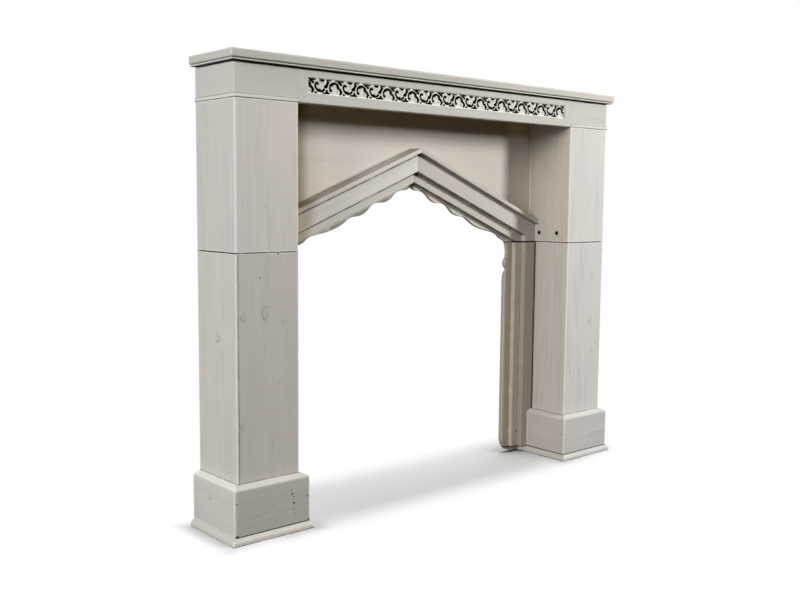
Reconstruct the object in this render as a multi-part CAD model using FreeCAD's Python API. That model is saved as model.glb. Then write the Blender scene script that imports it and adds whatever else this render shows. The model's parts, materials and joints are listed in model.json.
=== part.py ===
import FreeCAD, Part
import math
import os

# Full-height painted pine mantel surround with a pointed-arch recess.
# Frame: origin at the centre of the footprint on the floor, +X to the right
# seen from the front, -Y towards the room, +Y towards the wall, +Z up.
# Millimetres. Depths ("back", "front") are measured out from the wall plane.
# Right-hand pieces are modelled and mirrored to the left; "inner" faces the
# recess. Cutting and trimming blocks overrun the pieces they work on.

Vector = FreeCAD.Vector
os.makedirs("parts", exist_ok=True)

# ------------------------------------------------------------ main dimensions
HEIGHT = 1100.0            # floor to top of shelf
DEPTH = 197.5              # wall plane to front of base strip
WALL = DEPTH / 2.0         # y of the wall plane

SHELF_T = 24.0
UNDER_SHELF = HEIGHT - SHELF_T

FACE_FRONT = 170.0         # depth of the face of frieze and legs
FRIEZE_BOTTOM = 998.0
FRIEZE_T = 19.0
FRIEZE_BACK = FACE_FRONT - FRIEZE_T

LEG_OUT = 655.0            # half width over the legs
LEG_IN = 487.0             # half distance between the inner leg faces
BOARD = 19.0               # thickness of the leg boards
HOLLOW_IN = LEG_IN + BOARD             # inside faces of the leg boards
HOLLOW_OUT = LEG_OUT - BOARD
HOLLOW_FRONT = FACE_FRONT - BOARD

SEAM = 657.0               # joint between upper unit and lower legs
CORNER_R = 2.0             # mitred corners of shelf and leg caps

PANEL_T = 12.0             # recess panel and scalloped jamb board
NARROW_FRONT = 25.0        # face of the narrow boards
WIDE_FRONT = 40.0          # face of the wide boards

PROFILE_INSET = 60.0       # how far moulding profiles run in behind their face
FILL_INSET = 59.0          # start of the filling behind them, overlapping by 1
PAST_ALL = 800.0           # x beyond every piece
PAST_WALL = -50.0          # depth of the rear end of the mitre wedges


# -------------------------------------------------------------------- helpers
def wall_y(depth):
    """y of a depth measured out from the wall plane."""
    return WALL - depth


def block(left, right, back, front, bottom, top):
    """Box between two x, two depths and two heights."""
    return Part.makeBox(right - left, wall_y(back) - wall_y(front), top - bottom,
                        Vector(left, wall_y(front), bottom))


def extrude_outline(points, direction):
    return Part.Face(Part.makePolygon(points + [points[0]])).extrude(direction)


def prism_xz(outline, back, front):
    """Outline of (x, z) extruded from the front depth towards the wall."""
    points = [Vector(x, wall_y(front), z) for x, z in outline]
    return extrude_outline(points, Vector(0, front - back, 0))


def prism_yz(outline, left, right):
    """Outline of (depth, z) extruded along x."""
    points = [Vector(left, wall_y(depth), z) for depth, z in outline]
    return extrude_outline(points, Vector(right - left, 0, 0))


def prism_xy(outline, bottom, top):
    """Outline of (x, depth) extruded upwards."""
    points = [Vector(x, wall_y(depth), bottom) for x, depth in outline]
    return extrude_outline(points, Vector(0, 0, top - bottom))


def x_cylinder(radius, length, x, depth, z):
    return Part.makeCylinder(radius, length, Vector(x, wall_y(depth), z), Vector(1, 0, 0))


def quarter_turn(steps):
    """Evenly spaced angles from 0 to 90 degrees."""
    return [i / steps * math.pi / 2 for i in range(steps + 1)]


def solid(shape):
    shape = shape.removeSplitter()
    return shape.Solids[0] if len(shape.Solids) == 1 else shape


def mirror(shape):
    return shape.mirror(Vector(0, 0, 0), Vector(1, 0, 0))


def near(a, b):
    return abs(a - b) < 0.02


def edges_where(shape, test):
    """Edges for which test(start, end, middle) holds."""
    found = []
    for edge in shape.Edges:
        if edge.Length < 1e-6:
            continue
        start, end = edge.Vertexes[0].Point, edge.Vertexes[-1].Point
        middle = edge.valueAt((edge.FirstParameter + edge.LastParameter) / 2.0)
        if test(start, end, middle):
            found.append(edge)
    return found


def work_edges(shape, operation, test, sizes):
    """Apply a fillet or chamfer at the first size that gives a valid solid."""
    edges = edges_where(shape, test)
    if not edges:
        return shape
    for size in sizes:
        # guards against a size that does not fit; the edge then stays sharp
        # unless a smaller size is left to try
        try:
            out = operation(size, edges)
            if out.isValid() and out.Solids:
                return out
        except Exception:
            pass
    return shape


def soften(shape, test, radius):
    """Round the chosen edges; a smaller radius is used where it does not fit."""
    return work_edges(shape, shape.makeFillet, test, (radius, radius * 0.6))


def bevel(shape, test, size):
    return work_edges(shape, shape.makeChamfer, test, (size,))


def rounded_block(left, right, front, bottom, top, radius):
    """Tall trimming block whose two front vertical edges are rounded."""
    tall = block(left, right, -10, front, bottom - 2, top + 2)
    return soften(tall, lambda start, end, middle:
                  near(middle.y, wall_y(front)) and near(start.x, end.x)
                  and (near(middle.x, left) or near(middle.x, right)), radius)


def split_u(outside, x_in, x_out, front, board, bottom, top):
    """Hollow a U-shaped run and split it at its mitres into front, inner and
    outer boards. x_in, x_out and front are its outside faces."""
    reach = 300.0
    xi, xo, inside = x_in + board, x_out - board, front - board
    z0, z1 = bottom - 5, top + 5
    front_wedge = prism_xy([(xi, inside), (xi - reach, inside + reach),
                            (xo + reach, inside + reach), (xo, inside)], z0, z1)
    inner_wedge = prism_xy([(xi, inside), (xi - reach, inside + reach),
                            (xi - reach, PAST_WALL), (xi, PAST_WALL)], z0, z1)
    outer_wedge = prism_xy([(xo, inside), (xo + reach, inside + reach),
                            (xo + reach, PAST_WALL), (xo, PAST_WALL)], z0, z1)
    shell = outside.cut(block(xi, xo, -60, inside, z0, z1))
    return [shell.common(wedge) for wedge in (front_wedge, inner_wedge, outer_wedge)]


def save(name, shape):
    if not shape.Solids or any(s.Volume <= 0 for s in shape.Solids):
        raise RuntimeError("no solid in " + name)
    shape.exportStep(os.path.join("parts", name + ".step"))


def save_pair(stem, right):
    """Write a right-hand piece and its mirror image."""
    save(stem + "_right", right)
    save(stem + "_left", mirror(right))


def save_u(stem, front, inner, outer):
    """Write the three boards of a U-shaped run, right and left."""
    save_pair(stem + "_front", solid(front))
    save_pair(stem + "_inner", solid(inner))
    save_pair(stem + "_outer", solid(outer))


# ---------------------------------------------------------------------- shelf
SHELF_HALF = 671.0         # half length over the nosing
SHELF_FRONT = 186.0        # depth of the nosing front
NOSING_W = 22.0            # width of the applied nosing strip
NOSING_R = 2.2             # lower and upper rounding of the nosing face
NOSING_FACE_Z = 5.5        # foot of the nosing face above the underside
NOSING_MITRE_GAP = 0.18    # hairline at the mitres
# bead and quirk under the nosing: (in from the face, up from the underside)
NOSING_BEAD = [(4.8, 0), (3.5, 0.9), (3.2, 2.0), (3.5, 3.3), (5.4, 4.0), (5.4, 5.0)]


def nosing_profile(reach):
    """Bead, quirk, rounded lower edge, full face and soft top edge."""
    points = [(reach - inset, UNDER_SHELF + rise) for inset, rise in NOSING_BEAD]
    for t in quarter_turn(6):
        points.append((reach - NOSING_R * (1 - math.sin(t)),
                       UNDER_SHELF + NOSING_FACE_Z + NOSING_R * (1 - math.cos(t))))
    for t in quarter_turn(6):
        points.append((reach - NOSING_R * (1 - math.cos(t)),
                       HEIGHT - NOSING_R + NOSING_R * math.sin(t)))
    return points


def shelf_outside():
    """Whole shelf with its nosing profile on the front and both ends."""
    front = prism_yz([(0, UNDER_SHELF)] + nosing_profile(SHELF_FRONT) + [(0, HEIGHT)],
                     -PAST_ALL, PAST_ALL)
    side = nosing_profile(SHELF_HALF)
    ends = prism_xz([(-x, z) for x, z in reversed(side)] + side, -10, 300)
    corners = rounded_block(-SHELF_HALF, SHELF_HALF, SHELF_FRONT, UNDER_SHELF, HEIGHT, CORNER_R)
    return front.common(ends).common(corners)


def shelf_parts():
    x = SHELF_HALF - NOSING_W
    depth = SHELF_FRONT - NOSING_W
    board = block(-x, x, 0, depth, UNDER_SHELF, HEIGHT)
    rim = shelf_outside().cut(board)
    gap, reach = NOSING_MITRE_GAP, 400.0
    z0, z1 = UNDER_SHELF - 5, HEIGHT + 5
    right = prism_xy([(x + gap, depth), (x + reach + gap, depth + reach),
                      (x + reach, PAST_WALL), (x, PAST_WALL), (x, depth)], z0, z1)
    middle = prism_xy([(-x + gap, depth), (-x - reach + gap, depth + reach),
                       (x + reach - gap, depth + reach), (x - gap, depth)], z0, z1)
    save("shelf_board", solid(board))
    save("shelf_nosing_front", solid(rim.common(middle)))
    save_pair("shelf_nosing", solid(rim.common(right)))


# ------------------------------------------------------------ frieze and caps
TOP_REVEAL = 3.0           # open shadow line under the shelf, front
TOP_REVEAL_SIDE = 1.8      # the same line on the outer sides
TOP_REVEAL_DEEP = 13.0
FRIEZE_END_GAP = 0.15      # hairline between frieze and leg cap
FRIEZE_EDGE_R = 2.0        # lower front edge of the frieze
SLOT_EDGE_R = 0.7          # front edges of the fretwork slot

FLARE = 3.0                # how far the leg cap flares at its foot
FLARE_H = 14.0             # top of the hollow flare above the cap's foot
FLARE_FOOT = 5.0           # bottom of the hollow flare above the cap's foot
FLARE_EASE = 1.2           # bevel under the flare

RAIL_T = 18.0
RAIL_BOTTOM = 1008.0

SLOT_HALF = 459.0          # half length of the fretwork slot
SLOT_Z0, SLOT_Z1 = 1020.5, 1057.0


def front_reveal():
    """Open shadow line between the frieze and the shelf."""
    return block(-PAST_ALL, PAST_ALL, FACE_FRONT - TOP_REVEAL_DEEP, FACE_FRONT + 20,
                 UNDER_SHELF - TOP_REVEAL, UNDER_SHELF + 1)


def frieze_board():
    face_y = wall_y(FACE_FRONT)
    board = block(-LEG_IN + FRIEZE_END_GAP, LEG_IN - FRIEZE_END_GAP,
                  FRIEZE_BACK, FACE_FRONT, FRIEZE_BOTTOM, UNDER_SHELF)
    board = board.cut(block(-SLOT_HALF, SLOT_HALF, FRIEZE_BACK - 1, FACE_FRONT + 1,
                            SLOT_Z0, SLOT_Z1))
    board = soften(board, lambda start, end, middle:
                   near(start.y, face_y) and near(end.y, face_y)
                   and near(start.z, FRIEZE_BOTTOM) and near(end.z, FRIEZE_BOTTOM),
                   FRIEZE_EDGE_R)
    board = soften(board, lambda start, end, middle:
                   near(start.y, face_y) and near(end.y, face_y)
                   and SLOT_Z0 - 1 < middle.z < SLOT_Z1 + 1
                   and abs(middle.x) < SLOT_HALF + 1, SLOT_EDGE_R)
    save("frieze_board", solid(board.cut(front_reveal())))


def frieze_rail():
    """Rail behind the frieze, bevelled along its lower rear edge."""
    back = FRIEZE_BACK - RAIL_T
    rail = block(-LEG_IN, LEG_IN, back, FRIEZE_BACK, RAIL_BOTTOM, UNDER_SHELF)
    rail = bevel(rail, lambda start, end, middle:
                 near(middle.z, RAIL_BOTTOM) and near(middle.y, wall_y(back)), 1.5)
    save("frieze_rail", rail)


def cap_profile(face):
    """Cap face from the shelf down through the hollow flare to the foot."""
    points = [(face, UNDER_SHELF)]
    for t in quarter_turn(6):
        points.append((face + FLARE * (1 - math.cos(t)),
                       FRIEZE_BOTTOM + FLARE_H - (FLARE_H - FLARE_FOOT) * math.sin(t)))
    points += [(face + FLARE, FRIEZE_BOTTOM + FLARE_EASE),
               (face + FLARE - FLARE_EASE, FRIEZE_BOTTOM)]
    return points


def cap_outline():
    """Plan of the cap with its front corners rounded, above and on the flare."""
    z0, z_flare, z1 = FRIEZE_BOTTOM, FRIEZE_BOTTOM + FLARE_H, UNDER_SHELF
    upper = rounded_block(0, LEG_OUT, FACE_FRONT, z_flare, z1, CORNER_R)
    lower = rounded_block(0, LEG_OUT + FLARE, FACE_FRONT + FLARE, z0, z1, CORNER_R)
    lower = lower.common(block(-1, 760, -20, 260, z0 - 1, z_flare))
    upper = upper.common(block(-1, 760, -20, 260, z_flare, z1 + 1))
    return upper.fuse(lower)


def leg_caps():
    """Cap boards over each leg, flared at the foot, mitred front to outer."""
    z0, z1 = FRIEZE_BOTTOM, UNDER_SHELF
    past_x, past_front = 760, 260
    profile_back = FRIEZE_BACK - PROFILE_INSET
    front = prism_yz([(profile_back, z1)] + cap_profile(FACE_FRONT) + [(profile_back, z0)],
                     400, 700)
    side = prism_xz([(300, z1)] + cap_profile(LEG_OUT) + [(300, z0)], -10, 250)
    corner_x, corner_depth = LEG_OUT - FRIEZE_T, FRIEZE_BACK
    front_half = front.common(block(LEG_IN, past_x, FRIEZE_BACK, past_front, z0 - 1, z1 + 1))
    side_half = side.common(block(corner_x, past_x, 0, past_front, z0 - 1, z1 + 1))

    reach = 200.0
    front_wedge = prism_xy([(LEG_IN - 50, corner_depth), (corner_x, corner_depth),
                            (corner_x + reach, corner_depth + reach),
                            (LEG_IN - 50, corner_depth + reach)], z0 - 5, z1 + 5)
    side_wedge = prism_xy([(corner_x, corner_depth), (corner_x + reach, corner_depth + reach),
                           (corner_x + reach, PAST_WALL), (corner_x, PAST_WALL)],
                          z0 - 5, z1 + 5)
    fill = block(300, past_x, 0, FRIEZE_BACK - FILL_INSET, z0, z1)
    cap_front = front_half.common(side).common(front_wedge)
    cap_outer = side_half.common(front.fuse(fill)).common(side_wedge)

    outline = cap_outline()
    side_reveal = block(LEG_OUT - TOP_REVEAL_DEEP, PAST_ALL, -20, FACE_FRONT + 20,
                        z1 - TOP_REVEAL_SIDE, z1 + 1)
    for name, cap in (("leg_cap_front", cap_front), ("leg_cap_outer", cap_outer)):
        cap = cap.common(outline).cut(front_reveal()).cut(side_reveal)
        save_pair(name, solid(cap))


# ------------------------------------------------------------------- fretwork
FRET_SET_BACK = 3.0        # frieze face to fretwork face
FRET_T = 5.5
FRET_CLEAR = 0.25          # clearance all round in the slot
FRET_FRONT = FACE_FRONT - FRET_SET_BACK
FRET_BACK = FRET_FRONT - FRET_T
FRET_HALF = SLOT_HALF - FRET_CLEAR
FRET_Z0, FRET_Z1 = SLOT_Z0 + FRET_CLEAR, SLOT_Z1 - FRET_CLEAR
FRET_PERIOD = 81.857       # one bowl scroll and one arch scroll
FRET_START = -447.09       # left end of the first whole period
FRET_BASE = 1019.33        # height that the scroll outlines are measured from
FRET_END = 2.2             # solid margin at each end of the band
FRET_TOP_RAIL = 1.0
FRET_BOTTOM_RAIL = 1.6
FRET_MIN_VOLUME = 8.0      # smaller cutting pieces are left out

# outlines of the openings in one period of the running scroll: distance along
# the band and height above FRET_BASE
OPENINGS = [
    # crescent inside the bowl scroll
    [(11.9, 27.7), (13.6, 28.6), (16.0, 28.6), (18.6, 27.6), (20.5, 25.9), (20.1, 24.3),
     (17.6, 23.9), (15.0, 24.3), (13.2, 23.2), (12.8, 20.6), (13.6, 17.8), (15.3, 15.3),
     (18.0, 13.4), (21.4, 12.8), (24.2, 13.1), (25.8, 11.9), (27.8, 10.9), (30.6, 11.3),
     (33.2, 13.0), (35.2, 15.1), (37.2, 15.5), (38.5, 13.8), (37.2, 11.4), (33.6, 9.0),
     (29.0, 7.6), (24.0, 7.2), (19.4, 8.1), (15.2, 10.3), (12.0, 13.3), (9.9, 16.9),
     (9.0, 20.6), (9.5, 24.4)],
    # opening between leaf tip and bowl, left of the leaf
    [(-13.2, 35.0), (-9.8, 35.4), (-7.0, 33.6), (-4.0, 31.4), (-1.6, 29.6), (0.6, 28.4),
     (2.0, 27.0), (3.6, 25.6), (5.6, 25.9), (7.0, 27.9), (6.2, 29.6), (4.2, 30.4),
     (1.9, 31.0), (1.5, 32.6), (3.2, 33.6), (7.0, 33.8), (10.4, 34.5), (12.8, 36.0),
     (6.0, 36.45), (-4.0, 36.45), (-11.0, 36.45)],
    # notch between leaf and horn
    [(21.4, 36.2), (22.6, 35.0), (25.2, 33.6), (28.2, 32.2), (31.6, 31.5), (34.6, 32.3),
     (36.4, 34.2), (37.4, 36.2), (33.0, 36.45), (26.0, 36.45)],
    # gap between the bowl's horn and the arch scroll
    [(35.7, 19.8), (37.2, 21.7), (39.6, 23.1), (41.8, 25.0), (43.4, 27.6), (44.1, 30.8),
     (43.9, 33.4), (42.6, 36.0), (46.0, 36.45), (52.0, 36.45), (58.4, 36.3), (57.2, 34.9),
     (54.2, 34.4), (50.4, 35.0), (47.4, 34.6), (48.2, 32.6), (50.8, 31.2), (50.6, 29.0),
     (48.6, 26.2), (47.0, 22.6), (46.2, 19.6), (44.4, 17.6), (41.4, 17.3), (37.6, 18.0)],
    # small opening under the bowl, left
    [(8.7, 4.6), (10.2, 6.1), (12.2, 6.7), (14.2, 6.0), (15.9, 4.7), (13.8, 3.75), (10.2, 3.7)],
    # opening under the bowl, right
    [(29.4, 4.1), (33.0, 5.5), (37.4, 6.4), (40.6, 7.1), (41.4, 9.8), (42.6, 12.1),
     (44.4, 12.7), (46.0, 11.2), (46.8, 8.4), (49.0, 6.7), (52.0, 5.2), (50.8, 3.8),
     (44.0, 3.7), (36.0, 3.7)],
    # crescent inside the arch scroll, running down beside the next bowl
    [(52.3, 12.4), (53.4, 10.4), (55.6, 9.5), (58.0, 10.3), (59.6, 12.3), (58.2, 14.0),
     (55.7, 14.7), (54.7, 17.2), (55.0, 20.2), (56.6, 22.8), (59.6, 24.2), (62.6, 24.7),
     (64.4, 26.6), (66.8, 27.9), (69.6, 27.1), (72.0, 24.7), (73.2, 21.8), (73.4, 19.0),
     (75.0, 17.5), (78.2, 16.5), (80.8, 14.4), (82.4, 11.0), (82.6, 7.6), (80.9, 5.2),
     (81.6, 3.75), (84.2, 3.75), (86.0, 5.6), (87.6, 8.0), (89.6, 10.3), (88.6, 12.4),
     (86.6, 14.6), (84.8, 17.4), (82.2, 19.2), (79.2, 19.9), (77.6, 21.0), (79.4, 22.2),
     (80.4, 23.8), (78.6, 26.0), (75.2, 28.4), (71.2, 30.4), (67.0, 31.4), (62.6, 31.0),
     (58.0, 29.4), (54.2, 26.7), (52.0, 23.0), (51.2, 18.6), (51.5, 15.0)],
]


def opening_tool(points):
    """Cutter through the band with a closed smooth outline."""
    y = wall_y(FRET_FRONT) - 1
    outline = Part.BSplineCurve()
    outline.interpolate([Vector(x, y, z) for x, z in points], PeriodicFlag=True)
    return Part.Face(Part.Wire([outline.toShape()])).extrude(Vector(0, FRET_T + 2, 0))


def fretwork_band():
    """Pierced running scroll: rings open upwards and downwards in turn, each
    holding a curled leaf, between a thin top rail and a bottom rail."""
    band = block(-FRET_HALF, FRET_HALF, FRET_BACK, FRET_FRONT, FRET_Z0, FRET_Z1)
    left, right = -FRET_HALF + FRET_END, FRET_HALF - FRET_END
    top = FRET_Z1 - FRET_TOP_RAIL
    limit = block(left, right, FRET_BACK - 1, FRET_FRONT + 1, FRET_Z0 + FRET_BOTTOM_RAIL, top)
    tools = []
    # one part period on the left, then as many as start within the band
    for period in range(-1, math.ceil((FRET_HALF - FRET_START) / FRET_PERIOD)):
        start = FRET_START + period * FRET_PERIOD
        for outline in OPENINGS:
            points = [(start + x, FRET_BASE + z) for x, z in outline]
            low, high = min(x for x, z in points), max(x for x, z in points)
            if high < left + 1 or low > right - 1:
                continue
            tool = opening_tool(points)
            if low < left + 0.5 or high > right - 0.5 or max(z for x, z in points) > top - 0.5:
                tool = tool.common(limit)
            tools.extend(t for t in tool.Solids if t.Volume > FRET_MIN_VOLUME)
    # the largest solid is the band; loose islands are dropped
    save("fretwork_band", max(band.cut(tools).Solids, key=lambda piece: piece.Volume))


def fretwork_backing():
    """Strip in the slot behind the fretwork, flush with the frieze back."""
    save("fretwork_backing", block(-FRET_HALF, FRET_HALF, FRIEZE_BACK, FRET_BACK,
                                   FRET_Z0, FRET_Z1))


# ------------------------------------------------------------ recess and arch
ARCH_SLOPE = 0.4072        # rise over run of the pointed arch
SLOPE_COS = 1.0 / math.sqrt(1.0 + ARCH_SLOPE ** 2)
APEX_GAP = 0.2             # right half of the hairline at the apex mitre

STRIP_W = 12.0             # width of the outer strip across the slope
STRIP_FRONT = 54.0         # face of the outer strip
STRIP_R = 2.4
STRIP_APEX = 919.7         # height of its upper edge on centre
STRIP_LOW_APEX = STRIP_APEX - STRIP_W / SLOPE_COS
NARROW_APEX = 827.6        # height of the narrow board's lower edge on centre
WIDE_APEX = 856.4          # height of the wide board's lower edge on centre

JAMB_TOP = SEAM - 2.4      # open gap above the jamb boards at the seam
JAMB_BOTTOM = 19.0
# name, arch apex, jamb width from the inner leg face, back, front, edge
# radius, open line between jamb board and leg
RECESS_BOARDS = [
    ("narrow_board", NARROW_APEX, 72.0, PANEL_T, NARROW_FRONT, 1.2, 0.0),
    ("wide_board", WIDE_APEX, 44.0, NARROW_FRONT, WIDE_FRONT, 1.4, 1.8),
]

# lower edge of the recess panel: distance along the slope from the centre,
# and distance below the narrow board's lower edge, across the slope
SCALLOP = [
    (9, 11.4), (20, 13.2), (31, 11.2), (43, 7.4), (54, 5.6), (65, 7.0),
    (76, 11.2), (87, 14.8), (98, 16.0), (110, 14.9), (122, 11.2), (134, 7.0),
    (145, 5.2), (156, 6.8), (167, 11.4), (179, 15.6), (193, 17.0), (207, 15.4),
    (220, 12.0), (233, 9.6), (246, 11.8), (262, 15.0), (281, 16.8), (300, 16.2),
    (320, 13.8), (338, 10.4), (356, 7.0), (371, 5.2), (384, 6.8), (396, 10.4)]
SCALLOP_APEX_DROP = 9.5    # panel edge below the narrow board on centre
SCALLOP_SEAM_X = 386.0     # half opening of the scalloped edge at the seam

# scalloped jamb board, edge down to its cusp and on below it: x, z
SCALLOP_JAMB_TOP = SEAM - 0.5
JAMB_EDGE = [
    (SCALLOP_SEAM_X, SCALLOP_JAMB_TOP), (390.2, 648.0), (393.4, 636.0), (394.6, 624.0),
    (393.2, 612.0), (388.0, 602.0), (383.6, 593.0), (385.2, 584.0), (391.0, 576.5),
    (396.2, 571.0)]
JAMB_EDGE_LOW = [(396.2, 571.0), (390.6, 566.5), (386.2, 560.0), (383.6, 551.0), (382.6, 541.0)]
SCALLOP_JAMB_FOOT = 4.5
JAMB_FOOT_R = 46.0         # rounding of its lower corner


def slope_z(apex, x):
    return apex - ARCH_SLOPE * x


def curve(points):
    """Smooth edge through (x, z) points on the panel face."""
    spline = Part.BSplineCurve()
    spline.interpolate([Vector(x, wall_y(PANEL_T), z) for x, z in points])
    return spline.toShape()


def lines(points):
    """Straight edges joining (x, z) points on the panel face."""
    corners = [Vector(x, wall_y(PANEL_T), z) for x, z in points]
    return [Part.makeLine(a, b) for a, b in zip(corners, corners[1:])]


def panel_from(edges):
    """Panel bounded by the edges, reaching back to the wall."""
    face = Part.Face(Part.Wire(Part.__sortEdges__(edges)))
    return face.extrude(Vector(0, PANEL_T, 0))


def recess_panel():
    right = [(0.0, NARROW_APEX - SCALLOP_APEX_DROP)]
    for along, below in SCALLOP:
        right.append((along * SLOPE_COS - below * ARCH_SLOPE * SLOPE_COS,
                      NARROW_APEX - along * ARCH_SLOPE * SLOPE_COS - below * SLOPE_COS))
    right += [(380.5, 661.0), (SCALLOP_SEAM_X, SEAM)]
    left = [(-x, z) for x, z in reversed(right)]
    around = [right[-1], (HOLLOW_IN, SEAM), (HOLLOW_IN, UNDER_SHELF),
              (-HOLLOW_IN, UNDER_SHELF), (-HOLLOW_IN, SEAM), left[0]]
    save("recess_panel", panel_from([curve(right)] + lines(around) + [curve(left)]))


def arch_board(apex, jamb_x, back, front, radius):
    """Half arch from the apex to the seam, under the outer strip."""
    board = prism_xz([(APEX_GAP, slope_z(apex, APEX_GAP)), (jamb_x, slope_z(apex, jamb_x)),
                      (jamb_x, SEAM), (LEG_IN, SEAM), (LEG_IN, slope_z(STRIP_LOW_APEX, LEG_IN)),
                      (APEX_GAP, slope_z(STRIP_LOW_APEX, APEX_GAP))], back, front)
    # front edges along the opening
    return soften(board, lambda start, end, middle:
                  near(middle.y, wall_y(front)) and near(start.y, end.y)
                  and SEAM + 0.3 < middle.z < slope_z(apex, middle.x) + 0.5, radius)


def jamb_board(jamb_x, leg_gap, back, front, radius):
    """Jamb board of the lower unit."""
    board = block(jamb_x, LEG_IN - leg_gap, back, front, JAMB_BOTTOM, JAMB_TOP)
    return soften(board, lambda start, end, middle:
                  near(middle.x, jamb_x) and near(middle.y, wall_y(front)), radius)


def recess_boards():
    for name, apex, jamb_width, back, front, radius, leg_gap in RECESS_BOARDS:
        jamb_x = LEG_IN - jamb_width
        save_pair("arch_" + name, solid(arch_board(apex, jamb_x, back, front, radius)))
        save_pair("jamb_" + name, solid(jamb_board(jamb_x, leg_gap, back, front, radius)))


def arch_outer_strip():
    strip = prism_xz([(APEX_GAP, slope_z(STRIP_LOW_APEX, APEX_GAP)),
                      (LEG_IN, slope_z(STRIP_LOW_APEX, LEG_IN)),
                      (LEG_IN, slope_z(STRIP_APEX, LEG_IN)),
                      (APEX_GAP, slope_z(STRIP_APEX, APEX_GAP))], PANEL_T, STRIP_FRONT)
    strip = soften(strip, lambda start, end, middle:
                   near(middle.y, wall_y(STRIP_FRONT)) and near(start.y, end.y)
                   and 1 < middle.x < LEG_IN - 1, STRIP_R)
    save_pair("arch_outer_strip", solid(strip))


def jamb_scalloped_board():
    edge_foot = JAMB_EDGE_LOW[-1]
    corner = [(edge_foot[0] + JAMB_FOOT_R * (1 - math.cos(t)),
               SCALLOP_JAMB_FOOT + JAMB_FOOT_R * (1 - math.sin(t))) for t in quarter_turn(8)]
    around = [corner[-1], (HOLLOW_IN, SCALLOP_JAMB_FOOT), (HOLLOW_IN, SCALLOP_JAMB_TOP),
              JAMB_EDGE[0]]
    edges = [curve(JAMB_EDGE), curve(JAMB_EDGE_LOW)] + lines([edge_foot, corner[0]])
    edges += [curve(corner)] + lines(around)
    save_pair("jamb_scalloped_board", panel_from(edges))


# ----------------------------------------------------------------------- legs
SEAM_REVEAL = 0.45         # each half of the open line at the seam
SEAM_BEARING = 9.0         # depth of that open line behind the leg faces
BEARING_H = 2.0            # height of the bearing piece in each half
EASE = 0.6                 # eased edges at the seam
LEG_R = 2.2                # rounding of the leg arrises

HOLE_Z = 684.5             # screw holes above the seam, inner leg face
HOLE_DEPTHS = (57.0, 126.0)
HOLE_R = 4.5               # counterbore
HOLE_DEEP = 10.0
SHANK_HOLE_R = 2.5

JOINER_T = 30.0
JOINER_TOP = 714.0
CLEAT = 20.0               # section of the cleats under the shelf
CLEAT_Z = UNDER_SHELF - CLEAT

SCREW_HEAD_R, SCREW_HEAD_T = 4.0, 2.4
SCREW_R = 2.25
SCREW_TIP_R = 0.4
SCREW_SHANK, SCREW_TIP = 29.0, 4.0     # lengths
CROSS_LONG, CROSS_WIDE, CROSS_DEEP = 4.4, 1.0, 1.6   # cross slot in the head

GLUE_BLOCK = 22.0          # section of the glue blocks
# name, bottom, top at the outer corner, top at the inner corner; the bottoms
# at the two corners are given separately
GLUE_BLOCKS = [
    # stem, outer corner (bottom, top), inner corner (bottom, top)
    ("upper_leg_glue_blocks", (690, 1052), (724, 1052)),
    ("lower_leg_glue_blocks", (24, 630), (24, 580)),
]
GLUE_BLOCKS = GLUE_BLOCKS


def leg_boards(bottom, top, seam_below):
    """Three boards of one leg half. They bear on the other half at the seam
    behind an open line that runs round the three visible faces."""
    if seam_below:
        body_bottom, body_top = bottom + SEAM_REVEAL, top
        eased_z = body_bottom
        bearing = (bottom, bottom + BEARING_H)
    else:
        body_bottom, body_top = bottom, top - SEAM_REVEAL
        eased_z = body_top
        bearing = (top - BEARING_H, top)
    body = block(LEG_IN, LEG_OUT, 0, FACE_FRONT, body_bottom, body_top)
    body = soften(body, lambda start, end, middle:
                  near(start.x, end.x) and near(start.y, end.y)
                  and near(middle.y, wall_y(FACE_FRONT)), LEG_R)
    body = bevel(body, lambda start, end, middle:
                 near(start.z, eased_z) and near(end.z, eased_z)
                 and near(middle.z, eased_z) and middle.y < WALL - 0.5, EASE)
    body = body.fuse(block(LEG_IN + SEAM_BEARING, LEG_OUT - SEAM_BEARING,
                           0, FACE_FRONT - SEAM_BEARING, *bearing)).removeSplitter()
    return split_u(body, LEG_IN, LEG_OUT, FACE_FRONT, BOARD, bottom, top)


def panel_rebate():
    """Room for the wall panels behind the inner leg boards."""
    return block(LEG_IN - 5, HOLLOW_IN + 0.01, -5, PANEL_T, -5, HEIGHT + 5)


def upper_leg():
    """Stops under the frieze; the inner board runs on up to the shelf."""
    front, inner, outer = leg_boards(SEAM, FRIEZE_BOTTOM, seam_below=True)
    inner = inner.cut(panel_rebate())
    inner = inner.fuse(block(LEG_IN, HOLLOW_IN, PANEL_T, FRIEZE_BACK,
                             FRIEZE_BOTTOM, UNDER_SHELF)).removeSplitter()
    for depth in HOLE_DEPTHS:
        inner = inner.cut(x_cylinder(HOLE_R, HOLE_DEEP + 1, LEG_IN - 1, depth, HOLE_Z))
        inner = inner.cut(x_cylinder(SHANK_HOLE_R, 40, LEG_IN, depth, HOLE_Z))
    save_u("upper_leg", front, inner, outer)


def lower_leg():
    front, inner, outer = leg_boards(0.0, SEAM, seam_below=False)
    save_u("lower_leg", front, inner.cut(panel_rebate()), outer)


def leg_joining_block():
    """Block across the seam, behind the inner boards, screwed to the upper one."""
    joiner = block(HOLLOW_IN, HOLLOW_IN + JOINER_T, 42, 142, 590, JOINER_TOP)
    joiner = bevel(joiner, lambda start, end, middle:
                   near(middle.z, JOINER_TOP) and near(start.z, end.z)
                   and middle.x > HOLLOW_IN + 1, 3.0)
    for depth in HOLE_DEPTHS:
        joiner = joiner.cut(x_cylinder(2.3, 26.0, HOLLOW_IN - 1, depth, HOLE_Z))
    save_pair("leg_joining_block", solid(joiner))


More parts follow.
